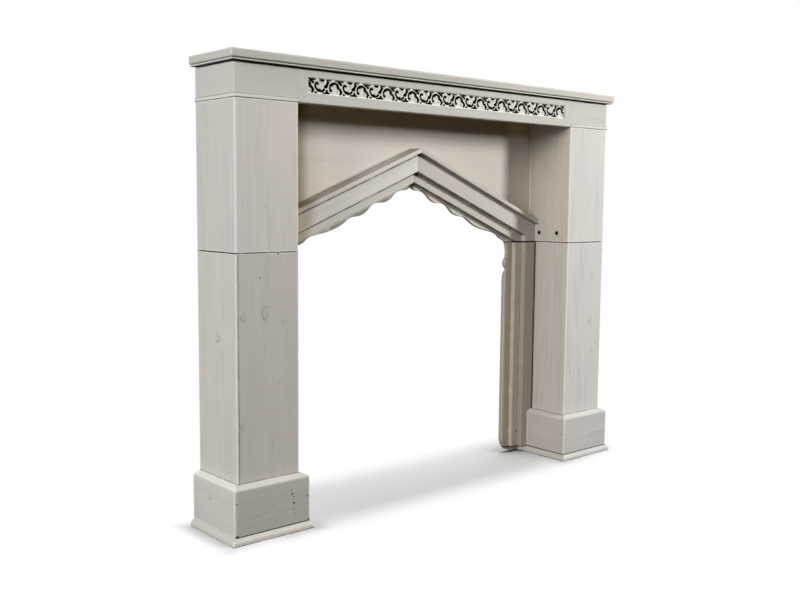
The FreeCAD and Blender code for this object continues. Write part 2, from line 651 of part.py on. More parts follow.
def joining_screw(depth):
    """Cross-slotted screw seated at the bottom of its counterbore."""
    seat, y = LEG_IN + HOLE_DEEP, wall_y(depth)
    head = x_cylinder(SCREW_HEAD_R, SCREW_HEAD_T, seat - SCREW_HEAD_T, depth, HOLE_Z)
    for wide, high in ((CROSS_LONG, CROSS_WIDE), (CROSS_WIDE, CROSS_LONG)):
        corner = Vector(seat - SCREW_HEAD_T - 0.1, y - wide / 2, HOLE_Z - high / 2)
        head = head.cut(Part.makeBox(CROSS_DEEP, wide, high, corner))
    shank = x_cylinder(SCREW_R, SCREW_SHANK, seat - 0.1, depth, HOLE_Z)
    tip = Part.makeCone(SCREW_R, SCREW_TIP_R, SCREW_TIP,
                        Vector(seat - 0.1 + SCREW_SHANK, y, HOLE_Z), Vector(1, 0, 0))
    return head.fuse(shank).fuse(tip).removeSplitter()


def joining_screws():
    screws = [joining_screw(depth) for depth in HOLE_DEPTHS]
    save("joining_screws", Part.makeCompound(screws + [mirror(s) for s in screws]))


def glue_blocks():
    """Blocks down the hidden front corners of the legs."""
    back = HOLLOW_FRONT - GLUE_BLOCK
    for stem, outer_z, inner_z in GLUE_BLOCKS:
        save_pair(stem, Part.makeCompound([
            block(HOLLOW_OUT - GLUE_BLOCK, HOLLOW_OUT, back, HOLLOW_FRONT, *outer_z),
            block(HOLLOW_IN, HOLLOW_IN + GLUE_BLOCK, back, HOLLOW_FRONT, *inner_z)]))


def cleats():
    """Cleats under the shelf, along the recess panel and each outer board."""
    save("panel_top_cleat",
         block(-LEG_IN, LEG_IN, PANEL_T, PANEL_T + CLEAT, CLEAT_Z, UNDER_SHELF))
    save_pair("shelf_end_cleat",
              block(HOLLOW_OUT - CLEAT, HOLLOW_OUT, 8, HOLLOW_FRONT, CLEAT_Z, UNDER_SHELF))


# ------------------------------------------------------------ plinth and base
STRIP_H = 16.5
STRIP_FACE = 9.5           # top of the rounded nose of the base strip
STRIP_CORNER_R = 4.0

PLINTH_PROUD = 18.5        # plinth beyond the leg faces
PLINTH_BOTTOM = STRIP_H
PLINTH_FACE_TOP = 125.5    # top of the vertical face
PLINTH_TOP = 134.0         # where the shoulder meets the leg
PLINTH_CORNER_R = 3.5
PLINTH_REVEAL = 0.9        # open line between the plinth and the base strip

STRIP_PROUD = PLINTH_PROUD + 9.0       # base strip beyond the leg faces


def foot_boards(profile, proud, bottom, top, corner_r):
    """Mitred run round the foot of the leg, split into its three boards.
    The profile is (distance beyond the leg face, z)."""
    front = prism_yz([(FACE_FRONT + out, z) for out, z in profile], LEG_IN - 100, LEG_OUT + 100)
    front = front.fuse(block(LEG_IN - 100, LEG_OUT + 100, -1, FACE_FRONT - FILL_INSET,
                             bottom, top))
    right = prism_xz([(LEG_OUT + out, z) for out, z in profile], -1, 300)
    left = prism_xz([(LEG_IN - out, z) for out, z in profile], -1, 300)
    sides = right.fuse(left).fuse(block(LEG_IN + FILL_INSET, LEG_OUT - FILL_INSET, -1, 300,
                                        bottom, top))
    body = front.common(sides).common(block(LEG_IN - 200, LEG_OUT + 200, 0, 400, bottom, top))
    x_in, x_out, face = LEG_IN - proud, LEG_OUT + proud, FACE_FRONT + proud
    body = body.common(rounded_block(x_in, x_out, face, bottom, top, corner_r))
    return split_u(body, x_in, x_out, face, proud, bottom, top)


def plinth():
    """Boards with a splayed shoulder wrapped round the foot of the leg."""
    proud, z0, z1 = PLINTH_PROUD, PLINTH_BOTTOM, PLINTH_TOP
    profile = [(-PROFILE_INSET, z1), (0, z1), (1.8, z1 - 0.5),
               (proud - 3.4, PLINTH_FACE_TOP + 1.5), (proud - 1.5, PLINTH_FACE_TOP + 0.1),
               (proud - 0.4, PLINTH_FACE_TOP - 1.6), (proud, PLINTH_FACE_TOP - 3.6),
               (proud, z0), (-PROFILE_INSET, z0)]
    front, inner, outer = foot_boards(profile, proud, z0, z1, PLINTH_CORNER_R)
    # the inner board stops at the face of the wide jamb board
    inner = inner.cut(block(LEG_IN - 60, LEG_OUT, -5, WIDE_FRONT, -5, 200))
    face, inner_face = FACE_FRONT + proud, LEG_IN - proud
    reveal_z = (z0 - 1, z0 + PLINTH_REVEAL)
    front = front.cut(block(LEG_IN - 60, LEG_OUT + 60, face - 6, face + 9, *reveal_z))
    inner = inner.cut(block(inner_face - 9, inner_face + 6, -5, face + 9, *reveal_z))
    save_u("plinth", front, inner, outer)


def base_strip():
    """Flat strip under the plinth, bevelled and rounded at the nose."""
    proud = STRIP_PROUD
    profile = [(-PROFILE_INSET, STRIP_H), (PLINTH_PROUD + 0.6, STRIP_H),
               (proud - 3.4, STRIP_FACE + 3.0), (proud - 1.5, STRIP_FACE + 1.5),
               (proud - 0.4, STRIP_FACE - 0.3), (proud, STRIP_FACE - 2.4),
               (proud, 1.2), (proud - 1.2, 0), (-PROFILE_INSET, 0)]
    front, inner, outer = foot_boards(profile, proud, 0, STRIP_H, STRIP_CORNER_R)
    # the inner strip stops just clear of the scalloped jamb board
    inner = inner.cut(block(LEG_IN - 60, LEG_OUT, -5, PANEL_T + 0.3, -5, 200))
    save_u("base_strip", front, inner, outer)


shelf_parts()
frieze_board()
frieze_rail()
leg_caps()
fretwork_backing()
fretwork_band()
recess_panel()
recess_boards()
arch_outer_strip()
jamb_scalloped_board()
upper_leg()
lower_leg()
leg_joining_block()
joining_screws()
glue_blocks()
cleats()
plinth()
base_strip()
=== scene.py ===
import bpy
import json
import math
from mathutils import Vector, Matrix

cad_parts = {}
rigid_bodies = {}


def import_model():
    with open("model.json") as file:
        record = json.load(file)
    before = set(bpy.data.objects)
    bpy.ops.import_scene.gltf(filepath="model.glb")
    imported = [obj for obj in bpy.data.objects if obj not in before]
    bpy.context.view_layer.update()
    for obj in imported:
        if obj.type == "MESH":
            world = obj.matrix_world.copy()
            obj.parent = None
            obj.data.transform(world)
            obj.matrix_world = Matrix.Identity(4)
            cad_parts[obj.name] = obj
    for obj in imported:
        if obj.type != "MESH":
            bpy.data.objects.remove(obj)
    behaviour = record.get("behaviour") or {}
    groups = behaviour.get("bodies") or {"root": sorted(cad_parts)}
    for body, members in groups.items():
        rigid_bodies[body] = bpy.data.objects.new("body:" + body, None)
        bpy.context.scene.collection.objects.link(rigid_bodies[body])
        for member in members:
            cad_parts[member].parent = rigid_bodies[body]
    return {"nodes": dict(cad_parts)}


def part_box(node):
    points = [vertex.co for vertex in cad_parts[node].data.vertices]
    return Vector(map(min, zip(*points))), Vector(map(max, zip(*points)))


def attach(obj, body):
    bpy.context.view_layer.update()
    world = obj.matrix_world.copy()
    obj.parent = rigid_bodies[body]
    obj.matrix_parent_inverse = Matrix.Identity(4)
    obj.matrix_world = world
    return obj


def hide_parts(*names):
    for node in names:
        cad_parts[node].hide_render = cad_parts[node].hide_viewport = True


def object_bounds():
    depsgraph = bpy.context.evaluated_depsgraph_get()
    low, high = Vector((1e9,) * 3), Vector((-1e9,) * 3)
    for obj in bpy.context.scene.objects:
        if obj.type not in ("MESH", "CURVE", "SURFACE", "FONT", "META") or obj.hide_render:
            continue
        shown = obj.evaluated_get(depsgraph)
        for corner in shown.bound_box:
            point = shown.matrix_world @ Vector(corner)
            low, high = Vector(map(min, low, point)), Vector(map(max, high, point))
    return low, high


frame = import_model()
NODES = frame["nodes"]
CAD_LO, CAD_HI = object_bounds()
SCENE = bpy.context.scene


# ------------------------------------------------------------------ utilities
def lin(r, g, b):
    def f(c):
        c /= 255.0
        return c / 12.92 if c <= 0.04045 else ((c + 0.055) / 1.055) ** 2.4
    return (f(r), f(g), f(b), 1.0)


class Net:
    """Small helper for building a node tree."""

    def __init__(self, tree):
        self.t = tree

    def node(self, kind, **settings):
        n = self.t.nodes.new(kind)
        for k, v in settings.items():
            setattr(n, k, v)
        return n

    def put(self, socket, value):
        if value is None:
            return
        if isinstance(value, bpy.types.NodeSocket):
            self.t.links.new(value, socket)
        else:
            socket.default_value = value

    def m(self, op, a, b=None, c=None, clamp=False):
        n = self.node("ShaderNodeMath", operation=op, use_clamp=clamp)
        self.put(n.inputs[0], a)
        self.put(n.inputs[1], b)
        self.put(n.inputs[2], c)
        return n.outputs[0]

    def vm(self, op, a, b=None, scale=None):
        n = self.node("ShaderNodeVectorMath", operation=op)
        self.put(n.inputs[0], a)
        self.put(n.inputs[1], b)
        if scale is not None:
            self.put(n.inputs["Scale"], scale)
        return n.outputs["Value"] if op in ("DOT_PRODUCT", "LENGTH", "DISTANCE") else n.outputs[0]

    def xyz(self, x, y, z):
        n = self.node("ShaderNodeCombineXYZ")
        for i, v in enumerate((x, y, z)):
            self.put(n.inputs[i], v)
        return n.outputs[0]

    def split(self, v):
        n = self.node("ShaderNodeSeparateXYZ")
        self.put(n.inputs[0], v)
        return n.outputs[0], n.outputs[1], n.outputs[2]

    def noise(self, vec, scale=1.0, detail=2.0, rough=0.5, warp=0.0, dims="3D", w=None):
        n = self.node("ShaderNodeTexNoise", noise_dimensions=dims)
        self.put(n.inputs["Vector"], vec)
        self.put(n.inputs["Scale"], scale)
        self.put(n.inputs["Detail"], detail)
        self.put(n.inputs["Roughness"], rough)
        self.put(n.inputs["Distortion"], warp)
        if w is not None:
            self.put(n.inputs["W"], w)
        return n.outputs["Fac"]

    def step(self, value, lo, hi, out_lo=0.0, out_hi=1.0, kind="SMOOTHSTEP"):
        n = self.node("ShaderNodeMapRange", interpolation_type=kind, clamp=True)
        self.put(n.inputs["Value"], value)
        self.put(n.inputs["From Min"], lo)
        self.put(n.inputs["From Max"], hi)
        self.put(n.inputs["To Min"], out_lo)
        self.put(n.inputs["To Max"], out_hi)
        return n.outputs["Result"]

    def mix(self, fac, a, b, blend="MIX"):
        n = self.node("ShaderNodeMix", data_type="RGBA", blend_type=blend, clamp_factor=True)
        self.put(n.inputs[0], fac)
        self.put(n.inputs[6], a)
        self.put(n.inputs[7], b)
        return n.outputs[2]

    def lerp(self, fac, a, b):
        n = self.node("ShaderNodeMix", data_type="FLOAT", clamp_factor=True)
        self.put(n.inputs[0], fac)
        self.put(n.inputs[2], a)
        self.put(n.inputs[3], b)
        return n.outputs[0]

    def group(self, tree, **values):
        n = self.node("ShaderNodeGroup")
        n.node_tree = tree
        for k, v in values.items():
            self.put(n.inputs[k], v)
        return n


def new_group(name, ins, outs):
    g = bpy.data.node_groups.new(name, "ShaderNodeTree")
    for n, kind in ins:
        g.interface.new_socket(n, in_out="INPUT", socket_type=kind)
    for n, kind in outs:
        g.interface.new_socket(n, in_out="OUTPUT", socket_type=kind)
    net = Net(g)
    gi, go = net.node("NodeGroupInput"), net.node("NodeGroupOutput")
    return g, net, gi.outputs, go.inputs


F, VEC, COL = "NodeSocketFloat", "NodeSocketVector", "NodeSocketColor"


# -------------------------------------------------------------- wood figure
def pine_group():
    """Figure of a flat-sawn pine board from its own coordinates: U along the
    grain, V across the face, W through the thickness."""
    g, n, i, o = new_group("PineFigure", [("U", F), ("V", F), ("W", F), ("Seed", F)],
                           [("Lines", F), ("Fibre", F), ("Blotch", F), ("Brush", F), ("Fleck", F),
                            ("Wide", F)])
    U, V, W, S = i["U"], i["V"], i["W"], i["Seed"]
    s1 = n.m("MULTIPLY", S, 3.17)
    # slow drift of the heart of the log along the board
    drift = n.m("SUBTRACT", n.noise(n.xyz(n.m("MULTIPLY", U, 1.6), s1, 0.0), 1.0, 1.5), 0.5)
    wob = n.m("SUBTRACT", n.noise(n.xyz(n.m("MULTIPLY", U, 5.0), n.m("MULTIPLY", V, 14.0), s1), 1.0, 2.0), 0.5)
    v1 = n.m("ADD", n.m("ADD", V, n.m("MULTIPLY", drift, 0.09)), n.m("MULTIPLY", wob, 0.010))
    w1 = n.m("ADD", n.m("ADD", W, 0.052), n.m("MULTIPLY", n.m("SUBTRACT", n.noise(
        n.xyz(n.m("MULTIPLY", U, 1.1), n.m("ADD", s1, 9.0), 0.0), 1.0, 1.0), 0.5), 0.05))
    r = n.m("SQRT", n.m("ADD", n.m("MULTIPLY", v1, v1), n.m("MULTIPLY", w1, w1)))
    ph = n.m("MULTIPLY", r, 185.0)
    ph = n.m("ADD", ph, n.m("MULTIPLY", n.noise(n.xyz(n.m("MULTIPLY", U, 3.0), n.m("MULTIPLY", V, 30.0), s1),
                                                1.0, 2.0), 1.5))
    fr = n.m("FRACT", ph)
    late = n.m("POWER", fr, 3.2)
    late = n.m("MULTIPLY", late, n.step(fr, 1.0, 0.93))
    vary = n.noise(n.xyz(n.m("MULTIPLY", U, 1.2), n.m("MULTIPLY", V, 22.0), n.m("ADD", s1, 4.0)), 1.0, 2.0)
    lines = n.m("MULTIPLY", late, n.step(vary, 0.30, 0.68))
    n.put(o["Lines"], lines)
    fib = n.noise(n.xyz(n.m("MULTIPLY", U, 14.0), n.m("MULTIPLY", V, 620.0), n.m("MULTIPLY", W, 620.0)),
                  1.0, 3.0, 0.62)
    n.put(o["Fibre"], fib)
    blotch = n.noise(n.xyz(n.m("MULTIPLY", U, 4.2), n.m("MULTIPLY", V, 11.0), n.m("ADD", n.m("MULTIPLY", W, 11.0), s1)),
                     1.0, 3.0, 0.55)
    n.put(o["Blotch"], blotch)
    wide = n.noise(n.xyz(n.m("MULTIPLY", U, 2.0), n.m("MULTIPLY", V, 60.0), n.m("ADD", s1, 7.0)), 1.0, 2.0, 0.5)
    n.put(o["Wide"], wide)
    brush = n.noise(n.xyz(n.m("MULTIPLY", U, 22.0), n.m("MULTIPLY", V, 900.0), n.m("ADD", n.m("MULTIPLY", W, 900.0), s1)),
                    1.0, 2.0, 0.5)
    n.put(o["Brush"], brush)
    fleck = n.noise(n.xyz(n.m("MULTIPLY", U, 55.0), n.m("MULTIPLY", V, 420.0), n.m("ADD", n.m("MULTIPLY", W, 420.0), s1)),
                    1.0, 2.0, 0.6)
    n.put(o["Fleck"], n.step(fleck, 0.70, 0.80))
    return g


def knot_group():
    """One knot: how far it pushes the grain aside, its core, its dark rim."""
    g, n, i, o = new_group("Knot", [("U", F), ("V", F), ("Uk", F), ("Vk", F), ("R", F), ("Aspect", F)],
                           [("Push", F), ("Core", F), ("Rim", F)])
    du = n.m("DIVIDE", n.m("SUBTRACT", i["U"], i["Uk"]), i["Aspect"])
    dv = n.m("SUBTRACT", i["V"], i["Vk"])
    wob = n.noise(n.xyz(n.m("MULTIPLY", du, 130.0), n.m("MULTIPLY", dv, 130.0), i["Uk"]), 1.0, 2.0)
    d = n.m("SQRT", n.m("ADD", n.m("MULTIPLY", du, du), n.m("MULTIPLY", dv, dv)))
    q = n.m("ADD", n.m("DIVIDE", d, i["R"]), n.m("MULTIPLY", n.m("SUBTRACT", wob, 0.5), 0.55))
    du2 = n.m("MULTIPLY", du, 0.42)
    far = n.m("DIVIDE", n.m("SQRT", n.m("ADD", n.m("MULTIPLY", du2, du2), n.m("MULTIPLY", dv, dv))),
              n.m("MULTIPLY", i["R"], 1.9))
    fall = n.m("EXPONENT", n.m("MULTIPLY", n.m("MULTIPLY", far, far), -1.0))
    n.put(o["Push"], n.m("MULTIPLY", n.m("MULTIPLY", dv, fall), -0.72))
    n.put(o["Core"], n.step(q, 1.0, 0.72))
    side = n.noise(n.xyz(n.m("MULTIPLY", du, 60.0), n.m("MULTIPLY", dv, 60.0), n.m("ADD", i["Uk"], 5.0)), 1.0, 1.0)
    rim = n.m("MULTIPLY", n.m("MULTIPLY", n.step(q, 1.22, 1.0), n.step(q, 0.66, 0.88)), n.step(side, 0.34, 0.62))
    n.put(o["Rim"], rim)
    return g


def nail_group():
    """A small dark round spot at a point of the row frame, used for filled and open nail holes and for painted shade
    spots in mitre corners.
    """
    g, n, i, o = new_group("Nail", [("P", VEC), ("At", VEC), ("R", F)], [("Hole", F)])
    d = n.vm("DISTANCE", i["P"], i["At"])
    wob = n.m("MULTIPLY", n.m("SUBTRACT", n.noise(i["P"], 900.0, 1.0), 0.5), 0.6)
    n.put(o["Hole"], n.step(n.m("ADD", n.m("DIVIDE", d, i["R"]), wob), 1.15, 0.7))
    return g


PINE, KNOT, NAIL = pine_group(), knot_group(), nail_group()

PAINT = lin(229, 225, 217)
PAINT_WARM = lin(227, 219, 203)
PAINT_COOL = lin(220, 220, 217)
PAINT_THIN = lin(190, 177, 155)
GRIME = lin(92, 80, 64)
PINE_LIGHT = lin(214, 184, 140)
PINE_DARK = lin(166, 120, 74)
KNOT_BROWN = lin(92, 62, 38)
DARK = lin(52, 43, 32)
SLOPE = 0.4072


def paint_material(name, grain, across, seed, lo, hi, tone=1.0, warm=0.25, lines=0.5, wear=0.5,
                   knots=(), nails=(), bare=None, bare_all=False, grime_low=0.0, aged=1.0, fade=None, top=None,
                   seams=(), bores=(), streak=1.0, shadow=None, rubbed=1.0, dim=()):
    """Thin off-white paint over pine. grain and across are unit vectors of the
    board's face; lo and hi its box; bare the outward normals left unpainted."""
    mat = bpy.data.materials.new(name)
    mat.use_nodes = True
    t = mat.node_tree
    t.nodes.clear()
    n = Net(t)
    out = n.node("ShaderNodeOutputMaterial")
    bsdf = n.node("ShaderNodeBsdfPrincipled")
    t.links.new(bsdf.outputs[0], out.inputs[0])
    P = n.node("ShaderNodeTexCoord").outputs["Object"]
    g, a = Vector(grain), Vector(across)
    w = g.cross(a)
    mid = (Vector(lo) + Vector(hi)) / 2
    u0 = seed * 1.37
    U = n.m("ADD", n.vm("DOT_PRODUCT", P, tuple(g)), 0.0)
    V = n.m("SUBTRACT", n.vm("DOT_PRODUCT", P, tuple(a)), mid.dot(a))
    W = n.m("SUBTRACT", n.vm("DOT_PRODUCT", P, tuple(w)), mid.dot(w))
    core = rim = None
    Vp = V
    for uk, vk, r, asp in knots:
        k = n.group(KNOT, U=U, V=V, Uk=uk, Vk=vk - mid.dot(a), R=r, Aspect=asp)
        Vp = n.m("ADD", Vp, k.outputs["Push"])
        core = k.outputs["Core"] if core is None else n.m("MAXIMUM", core, k.outputs["Core"])
        rim = k.outputs["Rim"] if rim is None else n.m("MAXIMUM", rim, k.outputs["Rim"])
    core = 0.0 if core is None else core
    rim = 0.0 if rim is None else rim
    fig = n.group(PINE, U=n.m("ADD", U, u0), V=n.m("ADD", Vp, 0.031 * math.sin(seed * 2.1)), W=W, Seed=float(seed))
    L, Fb, Bl, Br, Fl, Wd = (fig.outputs[k] for k in ("Lines", "Fibre", "Blotch", "Brush", "Fleck", "Wide"))

    # distance to the nearest arris of the board's own box
    x, y, z = n.split(P)
    d = []
    for axis, c in enumerate((x, y, z)):
        d.append(n.m("MINIMUM", n.m("ABSOLUTE", n.m("SUBTRACT", c, lo[axis])),
                     n.m("ABSOLUTE", n.m("SUBTRACT", hi[axis], c))))
    small = n.m("MINIMUM", d[0], d[1])
    large = n.m("MAXIMUM", d[0], d[1])
    edge = n.m("MAXIMUM", small, n.m("MINIMUM", large, d[2]))
    chip_n = n.noise(n.vm("SCALE", P, scale=1.0), 210.0, 3.0, 0.6)
    patch = n.noise(P, 23.0, 2.0, 0.5)
    chip_w = n.m("MULTIPLY", n.step(patch, 0.56, 0.74), 0.0030 * wear)
    chip = n.step(n.m("SUBTRACT", edge, n.m("MULTIPLY", chip_w, n.step(chip_n, 0.50, 0.72))), 0.0002, -0.0005)
    # worn paint on the arrises together with a painted highlight where the rounded edges catch the light
    rub = n.m("MULTIPLY", n.step(edge, 0.0046, 0.0018), 0.80 * rubbed)

    # paint colour
    c = n.mix(n.m("MULTIPLY", n.step(Bl, 0.34, 0.70), 0.55), PAINT, PAINT_COOL)
    c = n.mix(n.m("MULTIPLY", n.step(Wd, 0.38, 0.70), warm), c, PAINT_WARM)
    show = n.m("ADD", n.m("MULTIPLY", L, 0.40 * lines), n.m("MULTIPLY", n.step(Fb, 0.50, 0.78), 0.16 * lines))
    show = n.m("MULTIPLY", show, n.step(Bl, 0.30, 0.62, 0.45, 1.0))
    c = n.mix(show, c, PAINT_THIN)
    c = n.mix(n.m("MULTIPLY", n.step(n.m("MULTIPLY", Wd, 1.0), 0.56, 0.74), 0.10), c, lin(176, 171, 163))
    c = n.mix(n.m("MULTIPLY", Fl, 0.20), c, PAINT_THIN)
    c = n.mix(n.m("MULTIPLY", core, 0.16), c, lin(170, 158, 138))
    c = n.mix(n.m("MULTIPLY", rim, 0.48), c, lin(120, 106, 86))
    st = n.noise(n.xyz(n.m("ADD", n.m("MULTIPLY", U, 5.0), u0), n.m("MULTIPLY", V, 300.0), n.m("MULTIPLY", W, 300.0)),
                 1.0, 2.0, 0.65)
    st2 = n.noise(n.xyz(n.m("ADD", n.m("MULTIPLY", U, 2.6), u0 + 3.0), n.m("MULTIPLY", V, 95.0), n.m("MULTIPLY", W, 95.0)),
                  1.0, 2.0, 0.6)
    where = n.step(Bl, 0.30, 0.66, 0.35, 1.0)
    c = n.mix(n.m("MULTIPLY", n.m("MULTIPLY", n.step(st, 0.52, 0.76), 0.50 * streak), where), c, lin(178, 172, 163))
    c = n.mix(n.m("MULTIPLY", n.m("MULTIPLY", n.step(st, 0.44, 0.26), 0.60 * streak), where), c, lin(246, 243, 236))
    c = n.mix(n.m("MULTIPLY", n.step(st2, 0.52, 0.74), 0.22 * streak), c, lin(182, 177, 169))
    c = n.mix(n.m("MULTIPLY", n.step(st2, 0.46, 0.28), 0.22 * streak), c, lin(246, 243, 236))
    speck = n.noise(P, 260.0, 2.0, 0.5)
    c = n.mix(n.m("MULTIPLY", n.step(speck, 0.735, 0.775), 0.45), c, lin(120, 106, 88))
    # the arrises lightened: worn paint and painted highlight
    c = n.mix(rub, c, lin(255, 252, 244))
    c = n.mix(n.m("MULTIPLY", chip, 0.55), c, lin(172, 150, 116))
    # darker towards the bottom of the board
    if grime_low:
        low = n.m("MULTIPLY", n.step(n.m("ADD", z, n.m("MULTIPLY", chip_n, 0.02)), 0.10, 0.0), grime_low)
        c = n.mix(low, c, GRIME)
    # per-board tone, which also carries painted light and shade
    if tone != 1.0:
        tn = tone if isinstance(tone, tuple) else (tone, tone, tone)
        c = n.mix(1.0, c, (tn[0], tn[1], tn[2], 1.0), "MULTIPLY")
    if fade:                                     # painted light: the colour ramps lighter or darker across x where the lamps light the board unevenly; (x from, x to, factor from, factor to)
        k = n.step(x, fade[0], fade[1], fade[2], fade[3], "LINEAR")
        c = n.mix(1.0, c, n.xyz(k, k, k), "MULTIPLY")
    if top:                                      # (height from, height to, colour factor); painted light and shade by height, such as painted shade at the top of the panel under the frieze and a painted highlight on the plinth shoulders
        c = n.mix(n.step(z, top[0], top[1]), c, n.mix(1.0, c, top[2], "MULTIPLY"))
    for x0, x1, factor in dim:                   # (from x, to x, colour factor reached at the second); painted light and shade in steps across x, such as painted shade beside the left leg
        c = n.mix(n.step(x, x0, x1), c, n.mix(1.0, c, factor, "MULTIPLY"))
    # dark lines where boards meet, deepened with painted shade in the gaps and under the steps; a negative amount
    # paints a highlight line instead. Inside the round holes, painted shadow near black.
    for kind, value, half, amount in seams:
        if kind == "z":
            q = z
        elif kind == "y":
            q = y
        elif kind == "x":
            q = n.m("ABSOLUTE", x)
        else:
            q = n.m("ADD", z, n.m("MULTIPLY", n.m("ABSOLUTE", x), SLOPE))
        q = n.m("ABSOLUTE", n.m("SUBTRACT", q, value))
        k = n.step(q, half * 1.25, half * 0.75)
        if kind == "l":                          # only left of the middle
            k = n.m("MULTIPLY", k, n.step(x, 0.001, -0.002))
        if 0.0 < amount < 0.9:
            k = n.m("MULTIPLY", k, n.step(n.noise(P, 34.0, 2.0, 0.6), 0.25, 0.62, 0.45, 1.0))
        c = n.mix(n.m("MULTIPLY", k, abs(amount)), c, DARK if amount > 0.0 else lin(250, 244, 232))
    for by, bz, r in bores:
        dy, dz = n.m("SUBTRACT", y, by), n.m("SUBTRACT", z, bz)
        q = n.m("SQRT", n.m("ADD", n.m("MULTIPLY", dy, dy), n.m("MULTIPLY", dz, dz)))
        c = n.mix(n.step(q, r + 0.0004, r - 0.0001), c, lin(10, 8, 6))
    if shadow:                                   # walls of the openings, from one depth to another
        c = n.mix(n.m("MULTIPLY", n.step(y, shadow[0], shadow[1]), 0.97), c, lin(14, 11, 8))
    # nail holes, and dark spots at the arch apex mitres that are painted shade
    holes = None
    for at, r in nails:
        h = n.group(NAIL, P=P, At=tuple(at), R=r).outputs[0]
        holes = h if holes is None else n.m("MAXIMUM", holes, h)
    if holes is not None:
        c = n.mix(n.m("MULTIPLY", holes, 0.92), c, lin(38, 30, 23))

    # bare pine on the faces that stay unpainted
    if bare or bare_all:
        pine = n.mix(n.step(L, 0.02, 0.75), PINE_LIGHT, PINE_DARK)
        pine = n.mix(n.m("MULTIPLY", n.step(Fb, 0.40, 0.75), 0.30), pine, lin(188, 148, 100))
        pine = n.mix(n.m("MULTIPLY", n.step(Bl, 0.35, 0.7), 0.35), pine, lin(196, 160, 112))
        pine = n.mix(core, pine, KNOT_BROWN)
        pine = n.mix(n.m("MULTIPLY", rim, 0.8), pine, lin(60, 40, 26))
        # darker bare wood on the hidden faces of the header pocket: painted shade that keeps the pocket dark
        if aged != 1.0:
            pine = n.mix(1.0, pine, (aged, aged * 0.94, aged * 0.86, 1.0), "MULTIPLY")
        if bare_all:
            c = pine
            mask = 1.0
        else:
            N = n.node("ShaderNodeNewGeometry").outputs["True Normal"]
            mask = None
            for b in bare:
                k = n.step(n.vm("DOT_PRODUCT", N, tuple(b)), 0.80, 0.86)
                mask = k if mask is None else n.m("MAXIMUM", mask, k)
            spill = n.m("MULTIPLY", n.step(edge, 0.012, 0.002), n.step(patch, 0.35, 0.6))
            mask = n.m("MULTIPLY", mask, n.m("SUBTRACT", 1.0, n.m("MULTIPLY", spill, 0.75)))
            c = n.mix(mask, c, pine)
    n.put(bsdf.inputs["Base Color"], c)

    rough = n.m("ADD", n.m("MULTIPLY", Br, 0.16), 0.50)
    rough = n.m("ADD", rough, n.m("MULTIPLY", chip, 0.2))
    rough = n.m("SUBTRACT", rough, n.m("MULTIPLY", rub, 0.25), clamp=True)
    n.put(bsdf.inputs["Roughness"], rough)
    bsdf.inputs["Specular IOR Level"].default_value = 0.32

    h = n.m("MULTIPLY", L, -0.55 * max(lines, 0.4))
    h = n.m("ADD", h, n.m("MULTIPLY", Fb, 0.35))
    h = n.m("ADD", h, n.m("MULTIPLY", Br, 0.40))
    h = n.m("ADD", h, n.m("MULTIPLY", rim, -0.9))
    h = n.m("ADD", h, n.m("MULTIPLY", chip, -1.2))
    if holes is not None:
        h = n.m("ADD", h, n.m("MULTIPLY", holes, -4.0))
    bump = n.node("ShaderNodeBump")
    bump.inputs["Strength"].default_value = 0.55
    bump.inputs["Distance"].default_value = 0.00035
    n.put(bump.inputs["Height"], h)
    n.put(bsdf.inputs["Normal"], bump.outputs[0])
    return mat


def black_ground():
    mat = bpy.data.materials.new("dark_ground")
    mat.use_nodes = True
    n = Net(mat.node_tree)
    bsdf = mat.node_tree.nodes["Principled BSDF"]
    P = n.node("ShaderNodeTexCoord").outputs["Object"]
    x, y, z = n.split(P)
    f = n.noise(n.xyz(n.m("MULTIPLY", x, 30.0), n.m("MULTIPLY", y, 500.0), n.m("MULTIPLY", z, 500.0)), 1.0, 3.0, 0.6)
    dust = n.noise(P, 60.0, 3.0, 0.6)
    c = n.mix(n.step(f, 0.4, 0.8), lin(7, 6, 5), lin(13, 11, 9))
    c = n.mix(n.m("MULTIPLY", n.step(dust, 0.60, 0.8), 0.15), c, lin(26, 22, 18))
    n.put(bsdf.inputs["Base Color"], c)
    n.put(bsdf.inputs["Roughness"], n.step(f, 0.2, 0.8, 0.75, 0.92))
    bsdf.inputs["Specular IOR Level"].default_value = 0.05
    bump = n.node("ShaderNodeBump")
    bump.inputs["Strength"].default_value = 0.4
    bump.inputs["Distance"].default_value = 0.0004
    n.put(bump.inputs["Height"], f)
    n.put(bsdf.inputs["Normal"], bump.outputs[0])
    return mat


def zinc():
    mat = bpy.data.materials.new("zinc_screw")
    mat.use_nodes = True
    n = Net(mat.node_tree)
    bsdf = mat.node_tree.nodes["Principled BSDF"]
    P = n.node("ShaderNodeTexCoord").outputs["Object"]
    f = n.noise(P, 900.0, 3.0, 0.6)
    g = n.noise(P, 260.0, 2.0, 0.5)
    c = n.mix(n.step(g, 0.4, 0.7), lin(148, 146, 140), lin(110, 106, 98))
    c = n.mix(n.m("MULTIPLY", n.step(f, 0.62, 0.8), 0.6), c, lin(96, 74, 52))
    n.put(bsdf.inputs["Base Color"], c)
    bsdf.inputs["Metallic"].default_value = 1.0
    n.put(bsdf.inputs["Roughness"], n.step(f, 0.3, 0.8, 0.32, 0.62))
    bump = n.node("ShaderNodeBump")
    bump.inputs["Strength"].default_value = 0.3
    bump.inputs["Distance"].default_value = 0.0002
    n.put(bump.inputs["Height"], f)
    n.put(bsdf.inputs["Normal"], bump.outputs[0])
    return mat


